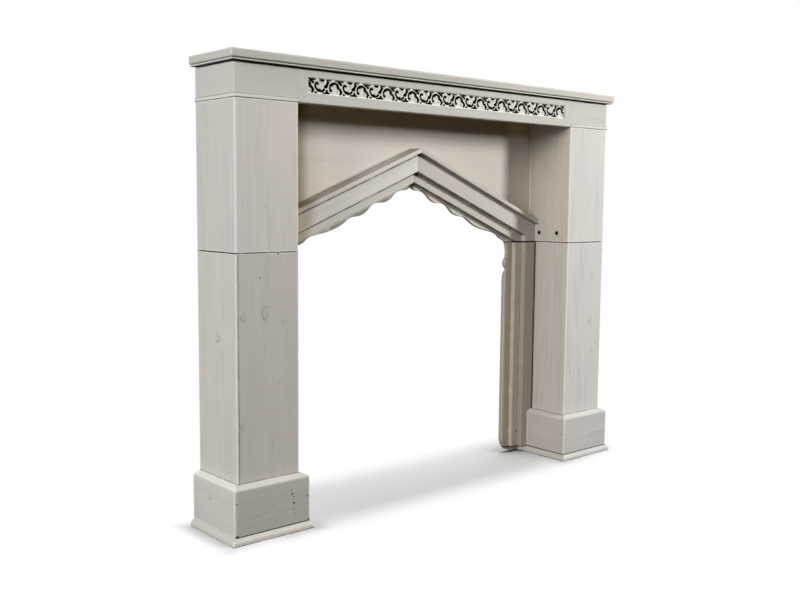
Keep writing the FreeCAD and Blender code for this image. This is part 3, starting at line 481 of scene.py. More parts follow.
# --------------------------------------------------- geometry of CAD boards
def tidy_group():
    """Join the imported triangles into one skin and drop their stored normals."""
    g = bpy.data.node_groups.new("TidySkin", "GeometryNodeTree")
    g.interface.new_socket("Geometry", in_out="INPUT", socket_type="NodeSocketGeometry")
    g.interface.new_socket("Geometry", in_out="OUTPUT", socket_type="NodeSocketGeometry")
    gi, go = g.nodes.new("NodeGroupInput"), g.nodes.new("NodeGroupOutput")
    weld = g.nodes.new("GeometryNodeMergeByDistance")
    weld.inputs["Distance"].default_value = 2e-6
    drop = g.nodes.new("GeometryNodeRemoveAttribute")
    drop.inputs["Name"].default_value = "custom_normal"
    drop2 = g.nodes.new("GeometryNodeRemoveAttribute")
    drop2.inputs["Name"].default_value = "sharp_edge"
    g.links.new(gi.outputs[0], weld.inputs["Geometry"])
    g.links.new(weld.outputs[0], drop.inputs["Geometry"])
    g.links.new(drop.outputs[0], drop2.inputs["Geometry"])
    g.links.new(drop2.outputs[0], go.inputs[0])
    return g


def smooth_group():
    """Smooth faces, with edges over 34 degrees kept sharp."""
    g = bpy.data.node_groups.new("SmoothByAngle", "GeometryNodeTree")
    g.interface.new_socket("Geometry", in_out="INPUT", socket_type="NodeSocketGeometry")
    g.interface.new_socket("Geometry", in_out="OUTPUT", socket_type="NodeSocketGeometry")
    gi, go = g.nodes.new("NodeGroupInput"), g.nodes.new("NodeGroupOutput")
    ang = g.nodes.new("GeometryNodeInputMeshEdgeAngle")
    cmp_ = g.nodes.new("FunctionNodeCompare")
    cmp_.data_type = "FLOAT"
    cmp_.operation = "GREATER_THAN"
    cmp_.inputs[1].default_value = math.radians(34)
    g.links.new(ang.outputs["Unsigned Angle"], cmp_.inputs[0])
    a = g.nodes.new("GeometryNodeSetShadeSmooth")
    a.domain = "FACE"
    a.inputs["Shade Smooth"].default_value = True
    b = g.nodes.new("GeometryNodeSetShadeSmooth")
    b.domain = "EDGE"
    b.inputs["Shade Smooth"].default_value = False
    g.links.new(gi.outputs[0], a.inputs["Geometry"])
    g.links.new(a.outputs[0], b.inputs["Geometry"])
    g.links.new(cmp_.outputs[0], b.inputs["Selection"])
    g.links.new(b.outputs[0], go.inputs[0])
    return g


TIDY, SMOOTH = tidy_group(), smooth_group()


def shape(obj, width, segments=2):
    m = obj.modifiers.new("tidy", "NODES")
    m.node_group = TIDY
    d = obj.modifiers.new("planar", "DECIMATE")
    d.decimate_type = "DISSOLVE"
    d.angle_limit = math.radians(0.4)
    if width > 0:
        b = obj.modifiers.new("arris", "BEVEL")
        b.width = width
        b.segments = segments
        b.limit_method = "ANGLE"
        b.angle_limit = math.radians(34)
        b.use_clamp_overlap = True
        b.miter_outer = "MITER_ARC"
        b.harden_normals = False
    m = obj.modifiers.new("smooth", "NODES")
    m.node_group = SMOOTH
    w = obj.modifiers.new("flat", "WEIGHTED_NORMAL")
    w.keep_sharp = True
    w.weight = 80


X, Yd, Z = (1, 0, 0), (0, 1, 0), (0, 0, 1)
CO = 1 / math.sqrt(1 + SLOPE * SLOPE)
WALL = CAD_HI.y


def from_wall(mm):
    return WALL - mm / 1000.0


# knots and nail holes that belong to one board: (u, v, radius, aspect) in the
# row frame along the grain and across the face, and points for nails
KNOTS = {
    "lower_leg_front_left": [(0.5129, -0.6375, 0.0072, 1.15), (0.5201, -0.5796, 0.0085, 1.9),
                             (0.4947, -0.5308, 0.0030, 2.2), (0.2655, -0.6398, 0.0070, 1.1)],
    "lower_leg_outer_left": [(0.4612, 0.0110, 0.0095, 1.3)],
    "plinth_outer_left": [(0.0210, 0.0865, 0.0065, 1.1)],
    "lower_leg_front_right": [(0.5556, 0.6067, 0.0045, 1.4), (0.3220, 0.6126, 0.0045, 1.4),
                              (0.2638, 0.5131, 0.0050, 1.3), (0.4133, 0.6034, 0.0080, 1.2)],
    "jamb_narrow_board_right": [(0.2098, 0.4458, 0.0060, 1.6)],
    "upper_leg_outer_right": [(0.8300, 0.0300, 0.0080, 1.3)],
    "lower_leg_outer_right": [(0.3600, -0.0200, 0.0090, 1.3), (0.5900, 0.0350, 0.0050, 1.2)],
    "upper_leg_inner_left": [(0.8800, 0.0100, 0.0070, 1.3)],
    "lower_leg_inner_left": [(0.3100, 0.0200, 0.0080, 1.4)],
    "shelf_board": [(-0.3700, 0.0300, 0.0110, 1.4), (0.4300, -0.0250, 0.0090, 1.3)],
}
NAILS = {
    "upper_leg_front_left": [((-0.5753, -0.0713, 0.7618), 0.0014)],
    "lower_leg_front_left": [((-0.5437, -0.0713, 0.6540), 0.0018), ((-0.5924, -0.0713, 0.6004), 0.0018),
                             ((-0.5425, -0.0713, 0.3546), 0.0012)],
    "plinth_front_left": [((-0.5187, -0.0898, 0.0919), 0.0027), ((-0.5145, -0.0898, 0.0843), 0.0019),
                          ((-0.5140, -0.0898, 0.0686), 0.0031), ((-0.5146, -0.0898, 0.0533), 0.0018),
                          ((-0.5226, -0.0898, 0.1020), 0.0018), ((-0.4758, -0.0898, 0.0793), 0.0020),
                          ((-0.6684, -0.0898, 0.0952), 0.0020), ((-0.5115, -0.0898, 0.0440), 0.0014),
                          ((-0.6680, -0.0898, 0.0185), 0.0050), ((-0.4715, -0.0898, 0.0185), 0.0042)],
    "plinth_outer_left": [((-0.6595, -0.0727, 0.1322), 0.0016)],
    "plinth_front_right": [((0.5413, -0.0898, 0.0770), 0.0019)],
    "plinth_inner_right": [((0.4685, -0.0792, 0.0799), 0.0019)],
    "upper_leg_inner_right": [((0.4870, 0.0498, 0.7830), 0.0012), ((0.4870, 0.0498, 0.7870), 0.0013),
                              ((0.4870, 0.0497, 0.7915), 0.0012), ((0.4870, 0.0497, 0.7960), 0.0010)],
    "jamb_narrow_board_right": [((0.4364, 0.0737, 0.0652), 0.0028)],
    "frieze_board": [((-0.4709, -0.0713, 1.0108), 0.0014), ((0.4705, -0.0713, 1.0662), 0.0014)],
}
# colour factor of single boards, partly the paint's own tone and partly painted light and shade: boards the lamps leave
# too dark are lightened, such as the left arch boards, and boards they leave too light are darkened, such as the lower
# left leg front and plinth
TONES = {
    "upper_leg_outer_left": (1.03, 1.05, 1.08), "lower_leg_outer_left": (1.07, 1.08, 1.11),
    "plinth_outer_left": (1.13, 1.14, 1.18), "base_strip_outer_left": 1.14,
    "leg_cap_outer_left": (0.99, 1.0, 1.02),
    "upper_leg_front_left": (1.03, 1.02, 1.03), "lower_leg_front_left": (0.89, 0.88, 0.89),
    "plinth_front_left": (0.82, 0.82, 0.83), "base_strip_front_left": 1.12,
    "base_strip_front_right": (1.12, 1.13, 1.16), "base_strip_inner_right": (1.14, 1.12, 1.10),
    "leg_cap_front_left": (0.94, 0.94, 0.93), "frieze_board": (0.95, 0.95, 0.94),
    "leg_cap_front_right": (0.94, 0.94, 0.96), "upper_leg_front_right": (1.07, 1.09, 1.13),
    "lower_leg_front_right": (1.06, 1.08, 1.14), "plinth_front_right": (1.01, 1.03, 1.09),
    "upper_leg_inner_right": (1.06, 1.02, 1.0), "lower_leg_inner_right": (1.11, 1.10, 1.09),
    "plinth_inner_right": (1.07, 1.04, 1.03), "upper_leg_inner_left": 0.80,
    "jamb_wide_board_right": 0.91, "jamb_wide_board_left": 0.90,
    "jamb_narrow_board_right": (1.24, 1.20, 1.18),
    "jamb_scalloped_board_right": (1.09, 1.06, 1.02),
    "arch_wide_board_left": (1.36, 1.40, 1.50), "arch_narrow_board_left": (1.30, 1.32, 1.40),
    "arch_outer_strip_left": (1.34, 1.34, 1.38), "arch_wide_board_right": (0.99, 1.0, 1.05),
}


def board_style(name):
    side = -1.0 if name.endswith("_left") else 1.0
    s = dict(bevel=0.0, tone=1.0, warm=0.25, lines=0.5, wear=0.5, bare=None, bare_all=False, grime_low=0.0, aged=1.0,
             fade=None, top=None, streak=0.35, seams=[], rubbed=1.0, dim=())
    if name == "shelf_board":
        s.update(g=X, a=Yd, bevel=0.0004, bare=[(0, 0, -1)], lines=0.6, aged=0.32)
    elif name == "shelf_nosing_front":
        # the front nosing darkened and ramped lighter to the right: painted light and shade
        s.update(g=X, a=Z, bevel=0.0003, bare=[(0, 1, 0)], lines=0.35, tone=(0.82, 0.82, 0.80),
                 fade=(0.0, 0.60, 1.0, 1.14))
    elif name.startswith("shelf_nosing"):
        s.update(g=Yd, a=Z, bevel=0.0003, lines=0.35, tone=(0.96, 0.96, 0.96))
    elif name == "frieze_board":
        s.update(g=X, a=Z, bevel=0.0003, bare=[(0, 1, 0)], lines=0.35, aged=0.32)
    elif name.startswith("leg_cap_front"):
        s.update(g=X, a=Z, bevel=0.0003, bare=[(0, 1, 0)], lines=0.35)
    elif name.startswith("leg_cap_outer"):
        s.update(g=Yd, a=Z, bevel=0.0003, bare=[(-side, 0, 0)], lines=0.35)
    elif "_leg_front" in name:
        s.update(g=Z, a=X, bare=[(0, 1, 0)], lines=0.7)
    elif "_leg_inner" in name:
        # inner faces tinted warmer: painted warm shade for the faces turned into the opening
        s.update(g=Z, a=Yd, bare=[(side, 0, 0)], lines=0.7, warm=0.6, tone=(0.97, 0.955, 0.92))
    elif "_leg_outer" in name:
        s.update(g=Z, a=Yd, bare=[(-side, 0, 0)], lines=0.6)
    elif name.startswith("plinth_front"):
        s.update(g=X, a=Z, bevel=0.0004, lines=0.7, grime_low=0.12)
    elif name.startswith("plinth"):
        s.update(g=Yd, a=Z, bevel=0.0004, lines=0.5, grime_low=0.1)
    elif name.startswith("base_strip_front"):
        s.update(g=X, a=Z, bevel=0.0004, lines=0.4, wear=0.8)
    elif name.startswith("base_strip"):
        s.update(g=Yd, a=Z, bevel=0.0004, lines=0.4, wear=0.8)
    elif name == "recess_panel":
        # painted light and shade on the panel: lighter towards the left, painted shade under the frieze at the top,
        # painted shade beside the left leg, lightened inside the right leg's shadow
        s.update(g=X, a=Z, bevel=0.0012, bare=[(0, 1, 0)], lines=0.12, warm=0.12, tone=(0.99, 0.955, 0.915),
                 fade=(-0.42, 0.32, 1.60, 1.0), top=(0.958, 0.990, (0.80, 0.67, 0.46, 1.0)),
                 dim=[(-0.336, -0.376, (0.46, 0.44, 0.38, 1.0)), (-0.29, -0.345, (0.88, 0.87, 0.85, 1.0)),
                      (0.372, 0.410, (1.34, 1.32, 1.30, 1.0))])
    elif name.startswith("arch"):
        s.update(g=(CO, 0, -SLOPE * CO * side), a=(SLOPE * CO * side, 0, CO), lines=0.35, warm=0.4, wear=0.35,
                 tone=(0.97, 0.95, 0.92))
    elif name.startswith("jamb"):
        # jamb boards tinted warmer: painted warm shade inside the opening
        s.update(g=Z, a=X, lines=0.8, warm=0.8, tone=(0.94, 0.91, 0.86), wear=0.9,
                 bevel=0.0012 if "scalloped" in name else 0.0003)
        if "scalloped" in name:
            s.update(bare=[(0, 1, 0)])
    elif name in ("frieze_rail", "panel_top_cleat"):
        # hidden boards of the header pocket darkened: painted shade
        s.update(g=X, a=Z, bare_all=True, bevel=0.0006, aged=0.32)
    elif "cleat" in name:
        s.update(g=Yd, a=Z, bare_all=True, bevel=0.0006)
    else:
        s.update(g=Z, a=X, bare_all=True, bevel=0.0008)
    if name.startswith("lower_leg"):
        s["streak"] = 0.85 if side > 0 else 0.40
    elif name.startswith("upper_leg"):
        s["streak"] = 0.45
    elif name == "recess_panel":
        s["streak"] = 0.12
    elif name == "frieze_board" or name.startswith("leg_cap"):
        s["streak"] = 0.22
        s["rubbed"] = 1.0 if "outer" in name else 0.0
    elif name.startswith("jamb"):
        s["streak"] = 0.60
    elif name.startswith("arch"):
        s["streak"] = 0.30
        s["rubbed"] = 0.5 if "outer" in name else 0.0
        # the left arch boards darkened next to the left leg: painted shade
        if side < 0:
            s["dim"] = [(-0.330, -0.378, (0.62, 0.58, 0.50, 1.0))]
    elif name.startswith("plinth"):
        # painted highlight: the plinth shoulders lightened as if lit from above
        k = 1.36 if side < 0 else 1.18
        s["top"] = (0.1246, 0.1262, (k, k, k, 1.0))
    # dark lines at the seams and joints, the gaps deepened with painted shade
    if "_leg_" in name and "glue" not in name and "joining" not in name:
        s["seams"] = [("z", 0.657, 0.0015, 0.95 if "outer" in name or side > 0 else 0.80),
                      ("z", 0.1342, 0.0010, 0.45)]
        if "inner" not in name:
            s["seams"].append(("z", 0.998, 0.0010, 0.55))
        if name == "lower_leg_front_left":
            s["seams"].append(("x", 0.6496, 0.0011, 0.70))
        if "lower_leg_inner" in name:
            s["seams"].append(("y", WALL - 0.0428, 0.0028, 0.95))
        if "upper_leg_inner" in name:
            s["bores"] = [(WALL - 0.057, 0.6845, 0.0060), (WALL - 0.126, 0.6845, 0.0060)]
    elif name.startswith("leg_cap") or name == "frieze_board":
        s["seams"] = [("z", 1.0765, 0.0038 if "outer" not in name else 0.0024, 1.0 if "outer" not in name else 0.7)]
        if name != "frieze_board":
            # a painted highlight band on the bead under the cap, with painted shade lines above and below
            s["seams"] += [("z", 1.0020, 0.0034, -0.30), ("z", 1.0068, 0.0009, 0.45), ("z", 0.9975, 0.0013, 0.65)]
    elif name.startswith("shelf_nosing"):
        # the black line of the gap under the shelf and the quirk line: painted shade
        k = 0.55 if "front" in name else 0.22
        s["seams"] = [("z", 1.0755, 0.0010, 1.0), ("z", 1.0806, 0.0008, 0.70 * k)]
    elif name.startswith("plinth"):
        s["seams"] = [("z", 0.0168, 0.0026, 1.0) if "outer" not in name else ("z", 0.0160, 0.0010, 0.5),
                      ("z", 0.1343, 0.0012, 0.85 if "inner" in name else 0.6)]
    elif name.startswith("base_strip"):
        s["seams"] = [("z", 0.0, 0.0022, 0.85)]
    elif name.startswith("arch_wide"):
        # dark lines below the steps of the arch and a light line on the left slope: painted shade and painted highlight
        s["seams"] = [("s", 0.9062, 0.0011, 0.75), ("s", 0.8570, 0.0010, 0.60), ("z", 0.6568, 0.0018, 1.0),
                      ("x", 0.0, 0.0007, 0.40), ("l", 0.9012, 0.0021, 0.80), ("l", 0.8595, 0.0010, -0.40)]
        # dark spots at the apex mitre: painted shade
        s["nails"] = [((0.0060, WALL - 0.0400, 0.9035), 0.0056), ((0.0000, WALL - 0.0400, 0.9030), 0.0040)]
    elif name.startswith("arch_narrow"):
        s["seams"] = [("s", 0.8558, 0.0011, 0.70), ("s", 0.8282, 0.0010, 0.60), ("z", 0.6568, 0.0018, 1.0),
                      ("x", 0.0, 0.0007, 0.40), ("l", 0.8512, 0.0030, 0.72)]
        # dark spots at the apex mitre: painted shade
        s["nails"] = [((0.0055, WALL - 0.0250, 0.8500), 0.0060), ((-0.0025, WALL - 0.0250, 0.8500), 0.0050)]
    elif name == "recess_panel":
        # the scallops left of the middle darkened with painted shade
        s["seams"] = [("s", 0.8270, 0.0011, 0.65), ("z", 0.6565, 0.0012, 0.8), ("s", 0.9205, 0.0012, 0.50),
                      ("x", 0.4872, 0.0009, 0.6), ("l", 0.8050, 0.0165, 0.66)]
        # dark spots at the apex mitre: painted shade
        s["nails"] = [((0.0035, WALL - 0.0120, 0.8170), 0.0058), ((-0.0045, WALL - 0.0120, 0.8175), 0.0050)]
    elif name.startswith("arch_outer"):
        s["seams"] = [("s", 0.9072, 0.0010, 0.55), ("x", 0.0, 0.0007, 0.4)]
    elif name.startswith("jamb_wide"):
        s["seams"] = [("z", 0.6550, 0.0016, 1.0), ("x", 0.4858, 0.0016, 0.9), ("x", 0.4438, 0.0008, 0.35)]
    elif name.startswith("jamb_narrow"):
        s["seams"] = [("z", 0.6550, 0.0016, 1.0), ("x", 0.4423, 0.0010, 0.60), ("x", 0.4862, 0.0012, 1.0),
                      ("z", 0.0190, 0.0018, 1.0), ("x", 0.4158, 0.0008, 0.30)]
    elif name.startswith("jamb_scalloped"):
        s["seams"] = [("z", 0.6562, 0.0020, 0.95), ("x", 0.4143, 0.0010, 0.55), ("z", 0.0178, 0.0022, 0.9)]
    # per-board factor, painted light and shade included
    k = TONES.get(name, 1.0)
    k = k if isinstance(k, tuple) else (k,) * 3
    t = s["tone"] if isinstance(s["tone"], tuple) else (s["tone"],) * 3
    s["tone"] = tuple(a * b * 0.80 for a, b in zip(t, k))
    return s


GROUND, ZINC = black_ground(), zinc()
for index, name in enumerate(sorted(NODES)):
    obj = NODES[name]
    lo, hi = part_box(name)
    if name == "fretwork_band":
        continue
    if name == "fretwork_backing":
        mat, bevel = GROUND, 0.0
    elif name == "joining_screws":
        mat, bevel = ZINC, 0.0002
    else:
        s = board_style(name)
        bevel = s.pop("bevel")
        g, a = s.pop("g"), s.pop("a")
        mat = paint_material("paint_" + name, g, a, index + 1, tuple(lo), tuple(hi),
                             knots=KNOTS.get(name, ()), nails=list(NAILS.get(name, ())) + list(s.pop("nails", ())), **s)
    obj.data.materials.clear()
    obj.data.materials.append(mat)
    shape(obj, bevel)

# ------------------------------------------------------- carved fretwork band
# openings of one period of the running scroll, millimetres along the band and
# up from its measuring line
OPENINGS = [
    [(11.9, 27.7), (13.6, 28.6), (16.0, 28.6), (18.6, 27.6), (20.5, 25.9), (20.1, 24.3),
     (17.6, 23.9), (15.0, 24.3), (13.2, 23.2), (12.8, 20.6), (13.6, 17.8), (15.3, 15.3),
     (18.0, 13.4), (21.4, 12.8), (24.2, 13.1), (25.8, 11.9), (27.8, 10.9), (30.6, 11.3),
     (33.2, 13.0), (35.2, 15.1), (37.2, 15.5), (38.5, 13.8), (37.2, 11.4), (33.6, 9.0),
     (29.0, 7.6), (24.0, 7.2), (19.4, 8.1), (15.2, 10.3), (12.0, 13.3), (9.9, 16.9),
     (9.0, 20.6), (9.5, 24.4)],
    [(-13.2, 35.0), (-9.8, 35.4), (-7.0, 33.6), (-4.0, 31.4), (-1.6, 29.6), (0.6, 28.4),
     (2.0, 27.0), (3.6, 25.6), (5.6, 25.9), (7.0, 27.9), (6.2, 29.6), (4.2, 30.4),
     (1.9, 31.0), (1.5, 32.6), (3.2, 33.6), (7.0, 33.8), (10.4, 34.5), (12.8, 36.0),
     (6.0, 36.45), (-4.0, 36.45), (-11.0, 36.45)],
    [(21.4, 36.2), (22.6, 35.0), (25.2, 33.6), (28.2, 32.2), (31.6, 31.5), (34.6, 32.3),
     (36.4, 34.2), (37.4, 36.2), (33.0, 36.45), (26.0, 36.45)],
    [(35.7, 19.8), (37.2, 21.7), (39.6, 23.1), (41.8, 25.0), (43.4, 27.6), (44.1, 30.8),
     (43.9, 33.4), (42.6, 36.0), (46.0, 36.45), (52.0, 36.45), (58.4, 36.3), (57.2, 34.9),
     (54.2, 34.4), (50.4, 35.0), (47.4, 34.6), (48.2, 32.6), (50.8, 31.2), (50.6, 29.0),
     (48.6, 26.2), (47.0, 22.6), (46.2, 19.6), (44.4, 17.6), (41.4, 17.3), (37.6, 18.0)],
    [(8.7, 4.6), (10.2, 6.1), (12.2, 6.7), (14.2, 6.0), (15.9, 4.7), (13.8, 3.75), (10.2, 3.7)],
    [(29.4, 4.1), (33.0, 5.5), (37.4, 6.4), (40.6, 7.1), (41.4, 9.8), (42.6, 12.1),
     (44.4, 12.7), (46.0, 11.2), (46.8, 8.4), (49.0, 6.7), (52.0, 5.2), (50.8, 3.8),
     (44.0, 3.7), (36.0, 3.7)],
    [(52.3, 12.4), (53.4, 10.4), (55.6, 9.5), (58.0, 10.3), (59.6, 12.3), (58.2, 14.0),
     (55.7, 14.7), (54.7, 17.2), (55.0, 20.2), (56.6, 22.8), (59.6, 24.2), (62.6, 24.7),
     (64.4, 26.6), (66.8, 27.9), (69.6, 27.1), (72.0, 24.7), (73.2, 21.8), (73.4, 19.0),
     (75.0, 17.5), (78.2, 16.5), (80.8, 14.4), (82.4, 11.0), (82.6, 7.6), (80.9, 5.2),
     (81.6, 3.75), (84.2, 3.75), (86.0, 5.6), (87.6, 8.0), (89.6, 10.3), (88.6, 12.4),
     (86.6, 14.6), (84.8, 17.4), (82.2, 19.2), (79.2, 19.9), (77.6, 21.0), (79.4, 22.2),
     (80.4, 23.8), (78.6, 26.0), (75.2, 28.4), (71.2, 30.4), (67.0, 31.4), (62.6, 31.0),
     (58.0, 29.4), (54.2, 26.7), (52.0, 23.0), (51.2, 18.6), (51.5, 15.0)],
]
# carved ridges (height above zero) and veins (below zero) on the leaves
STROKES = [
    (0.65, 1.05, [(2.6, 32.4), (7, 32.2), (11, 32.6), (15, 33.6), (19, 33.8), (22.5, 32.8), (26, 31.2),
                  (29.5, 29.9), (33, 29.4), (36, 29.8)]),
    (-0.95, 0.95, [(15, 31.0), (19, 30.7), (23.5, 29.5), (27.5, 27.9), (31.5, 26.6), (34.5, 25.4)]),
    (0.65, 1.1, [(39.8, 35.2), (41.2, 32.4), (41.4, 29.4), (40.2, 26.6), (37.6, 24.4), (34.9, 22.4),
                 (33.6, 19.6), (32.6, 16.6), (31, 14), (28.8, 12.4)]),
    (0.5, 0.9, [(14.6, 21.6), (17, 22.6), (20, 22.6), (22.5, 21.8)]),
    (-0.65, 0.7, [(16.4, 19.6), (19.6, 19.2), (22.8, 19.6), (25, 20.6)]),
    (0.6, 0.95, [(15, 18.4), (17.4, 16.2), (20.4, 15.4), (23.4, 16.0), (25.6, 18), (26.6, 20.4)]),
    (-0.95, 0.8, [(26.2, 12.8), (28, 15.6), (29.0, 18.6), (28.8, 21.6), (27.4, 24.4)]),
    (0.6, 0.95, [(56.2, 15.8), (56.2, 18.8), (57.6, 21), (60, 22.2), (63, 22.4), (65.5, 21.8)]),
    (0.5, 1.2, [(67.4, 26.4), (68.4, 24), (68.6, 21.0), (67.6, 18.0)]),
    (-0.7, 0.8, [(59.6, 15.6), (60.4, 17.8), (62.2, 19.4), (64.8, 19.6)]),
    (-0.7, 0.8, [(71.0, 19.6), (70.6, 16.4), (68.6, 13.6)]),
    (0.75, 1.1, [(72.8, 16.4), (75.4, 15.3), (78, 13.5), (79.7, 10.9), (80.1, 8), (79, 5.8)]),
    (-1.0, 1.1, [(70.4, 12.0), (73.4, 11), (75.8, 8.8), (76.2, 6.2)]),
    (0.45, 1.0, [(52.8, 8.2), (56, 7.4), (60, 7.2), (64, 8.4), (68, 10)]),
]
PERIOD, START, BASE = 81.857, -447.09, 1019.33
TOP_RAIL, BOTTOM_RAIL, END_RAIL = 1.0, 1.6, 2.2


def closed_curve(points, step):
    """Points every step along a smooth closed curve through the given ones."""
    out, n = [], len(points)
    for i in range(n):
        p0, p1, p2, p3 = (Vector(points[(i + k - 1) % n]) for k in range(4))
        m = max(2, round((p2 - p1).length / step))
        for j in range(m):
            t = j / m
            out.append(0.5 * ((2 * p1) + (p2 - p0) * t + (2 * p0 - 5 * p1 + 4 * p2 - p3) * t * t
                              + (3 * p1 - p0 - 3 * p2 + p3) * t ** 3))
    return out


def open_curve(points, step):
    pts = [Vector(points[0])] + [Vector(p) for p in points] + [Vector(points[-1])]
    out = []
    for i in range(1, len(pts) - 2):
        p0, p1, p2, p3 = pts[i - 1:i + 3]
        m = max(2, round((p2 - p1).length / step))
        for j in range(m):
            t = j / m
            out.append(0.5 * ((2 * p1) + (p2 - p0) * t + (2 * p0 - 5 * p1 + 4 * p2 - p3) * t * t
                              + (3 * p1 - p0 - 3 * p2 + p3) * t ** 3))
    out.append(pts[-1])
    return out


def carved_band():
    """The pierced band with rounded, carved faces."""
    from mathutils.geometry import delaunay_2d_cdt
    from mathutils.kdtree import KDTree
    from mathutils import noise
    lo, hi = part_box("fretwork_band")
    x_lo, x_hi, z_lo, z_hi = lo.x * 1000, hi.x * 1000, lo.z * 1000, hi.z * 1000
    in_lo, in_hi = x_lo + END_RAIL, x_hi - END_RAIL
    bot, top = z_lo + BOTTOM_RAIL, z_hi - TOP_RAIL
    loops = []
    k = -1
    while START + k * PERIOD < x_hi:
        x0 = START + k * PERIOD
        for outline in OPENINGS:
            pts = [Vector((x0 + p[0], BASE + p[1])) for p in outline]
            if max(p.x for p in pts) < in_lo + 1.5 or min(p.x for p in pts) > in_hi - 1.5:
                continue
            ring = []
            curve = closed_curve(pts, 0.55)
            turn = sum(curve[i - 1].x * curve[i].y - curve[i].x * curve[i - 1].y for i in range(len(curve)))
            turn = 0.75 if turn > 0 else -0.75   # the wood is cut back a little behind its rounded edge
            wide = []
            for i, q in enumerate(curve):
                t = curve[(i + 1) % len(curve)] - curve[i - 1]
                wide.append(q + Vector((t.y, -t.x)).normalized() * turn if t.length > 1e-6 else q)
            for q in wide:
                c = Vector((min(max(q.x, in_lo), in_hi), min(max(q.y, bot), top)))
                if not ring or (c - ring[-1]).length > 0.18:
                    ring.append(c)
            while len(ring) > 3 and (ring[0] - ring[-1]).length < 0.18:
                ring.pop()
            span = sum(ring[i - 1].x * ring[i].y - ring[i].x * ring[i - 1].y for i in range(len(ring))) / 2
            if abs(span) > 3.0:
                loops.append(ring if span > 0 else ring[::-1])
        k += 1
    outer = []
    corners = [(x_lo, z_lo), (x_hi, z_lo), (x_hi, z_hi), (x_lo, z_hi)]
    for i in range(4):
        a, b = Vector(corners[i]), Vector(corners[(i + 1) % 4])
        m = max(1, round((b - a).length / 1.2))
        outer += [a.lerp(b, j / m) for j in range(m)]
    verts, edges, faces = [], [], []
    for ring in [outer] + loops:
        s0 = len(verts)
        verts += ring
        ids = list(range(s0, s0 + len(ring)))
        faces.append(ids)
    n_rim = len(verts)
    rim_tree = KDTree(n_rim)
    for i, v in enumerate(verts):
        rim_tree.insert((v.x, v.y, 0), i)
    rim_tree.balance()
    # points inside the wood, on a slightly turned lattice
    pitch = 0.95
    rows = int((z_hi - z_lo) / (pitch * 0.866)) + 1
    inner = []
    for r in range(1, rows):
        z = z_lo + r * pitch * 0.866
        if z > z_hi - 0.4:
            break
        x = x_lo + 0.6 + (pitch / 2 if r % 2 else 0)
        while x < x_hi - 0.5:
            if rim_tree.find((x, z, 0))[2] > 0.42:
                inner.append(Vector((x, z)))
            x += pitch

    def surface(extra):
        vs, es, fs, ov, oe, of_ = delaunay_2d_cdt([Vector((v.x, v.y)) for v in verts] + extra, edges, faces, 1, 1e-5)
        kinds = {}
        for src in of_:
            kinds[tuple(src)] = kinds.get(tuple(src), 0) + 1
        wood = max(kinds, key=kinds.get)
        keep = [f for f, src in zip(fs, of_) if tuple(src) == wood]
        return vs, keep

    vs, tris = surface(inner)
    # relief strokes as a tree of points
    stroke_trees = []
    for amp, sig, pts in STROKES:
        dense = open_curve(pts, 0.4)
        t = KDTree(len(dense))
        for i, q in enumerate(dense):
            t.insert((q.x, q.y, 0), i)
        t.balance()
        stroke_trees.append((amp, sig, t))
    R, H = 1.35, 1.5
    heights = []
    for v in vs:
        d = rim_tree.find((v.x, v.y, 0))[2]
        e = min(v.x - x_lo, x_hi - v.x, v.y - z_lo, z_hi - v.y)
        q = min(d / R, 1.0)
        h = -H * (1 - math.sqrt(max(0.0, 1 - (1 - q) ** 2)))
        if v.y > top - 0.2 or v.y < bot + 0.2 or e < END_RAIL:
            q = min(max(e, 0.0) / 0.5, 1.0)
            h = -0.5 * (1 - q) - (0.25 if d < 0.3 else 0.0)
        else:
            lx, lz = (v.x - START) % PERIOD, v.y - BASE
            add = 0.0
            for amp, sig, t in stroke_trees:
                for sh in (0.0, -PERIOD):
                    dd = t.find((lx + sh, lz, 0))[2]
                    if dd < 3 * sig:
                        add += amp * math.exp(-(dd / sig) ** 2)
            h += add * min(d / 1.3, 1.0) - 0.35 * min(max((d - 2.2) / 2.0, 0.0), 1.0)
            h += 0.10 * noise.noise(Vector((v.x * 0.35, v.y * 0.35, 0.0)))
        heights.append(min(h, 0.25))
    y0, y1 = lo.y, hi.y
    co = [(v.x / 1000, y0 - h / 1000, v.y / 1000) for v, h in zip(vs, heights)]
    back_vs, back = surface([])
    shift = len(co)
    co += [(v.x / 1000, y1, v.y / 1000) for v in back_vs]
    me = bpy.data.meshes.new("carved_fretwork")
    fl = [tuple(f) for f in tris] + [tuple(shift + i for i in reversed(f)) for f in back]
    # walls between the two skins, along every rim edge
    count = {}
    for f in tris:
        for i in range(3):
            e = (f[i], f[(i + 1) % 3])
            count[frozenset(e)] = count.get(frozenset(e), []) + [e]
    place = {(round(v.x, 4), round(v.y, 4)): shift + i for i, v in enumerate(back_vs)}
    for es in count.values():
        if len(es) == 1:
            a, b = es[0]
            ka = place.get((round(vs[a].x, 4), round(vs[a].y, 4)))
            kb = place.get((round(vs[b].x, 4), round(vs[b].y, 4)))
            if ka is not None and kb is not None:
                fl.append((b, a, ka, kb))
    me.from_pydata(co, [], fl)
    me.validate()
    me.update()
    ob = bpy.data.objects.new("carved_fretwork", me)
    SCENE.collection.objects.link(ob)
    m = ob.modifiers.new("smooth", "NODES")
    m.node_group = SMOOTH
    return ob


lo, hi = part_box("fretwork_band")
band_mat = paint_material("paint_fretwork", X, Z, 77, tuple(lo), tuple(hi), lines=0.15, wear=0.0, warm=0.15,
                          tone=(0.98, 0.98, 0.965), streak=0.2, shadow=(lo.y + 0.0007, lo.y + 0.0015))
band = carved_band()
band.data.materials.append(band_mat)
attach(band, "root")
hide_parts("fretwork_band")


# --------------------------------------------------------------------- stage
FLOOR_GAIN = 0.87


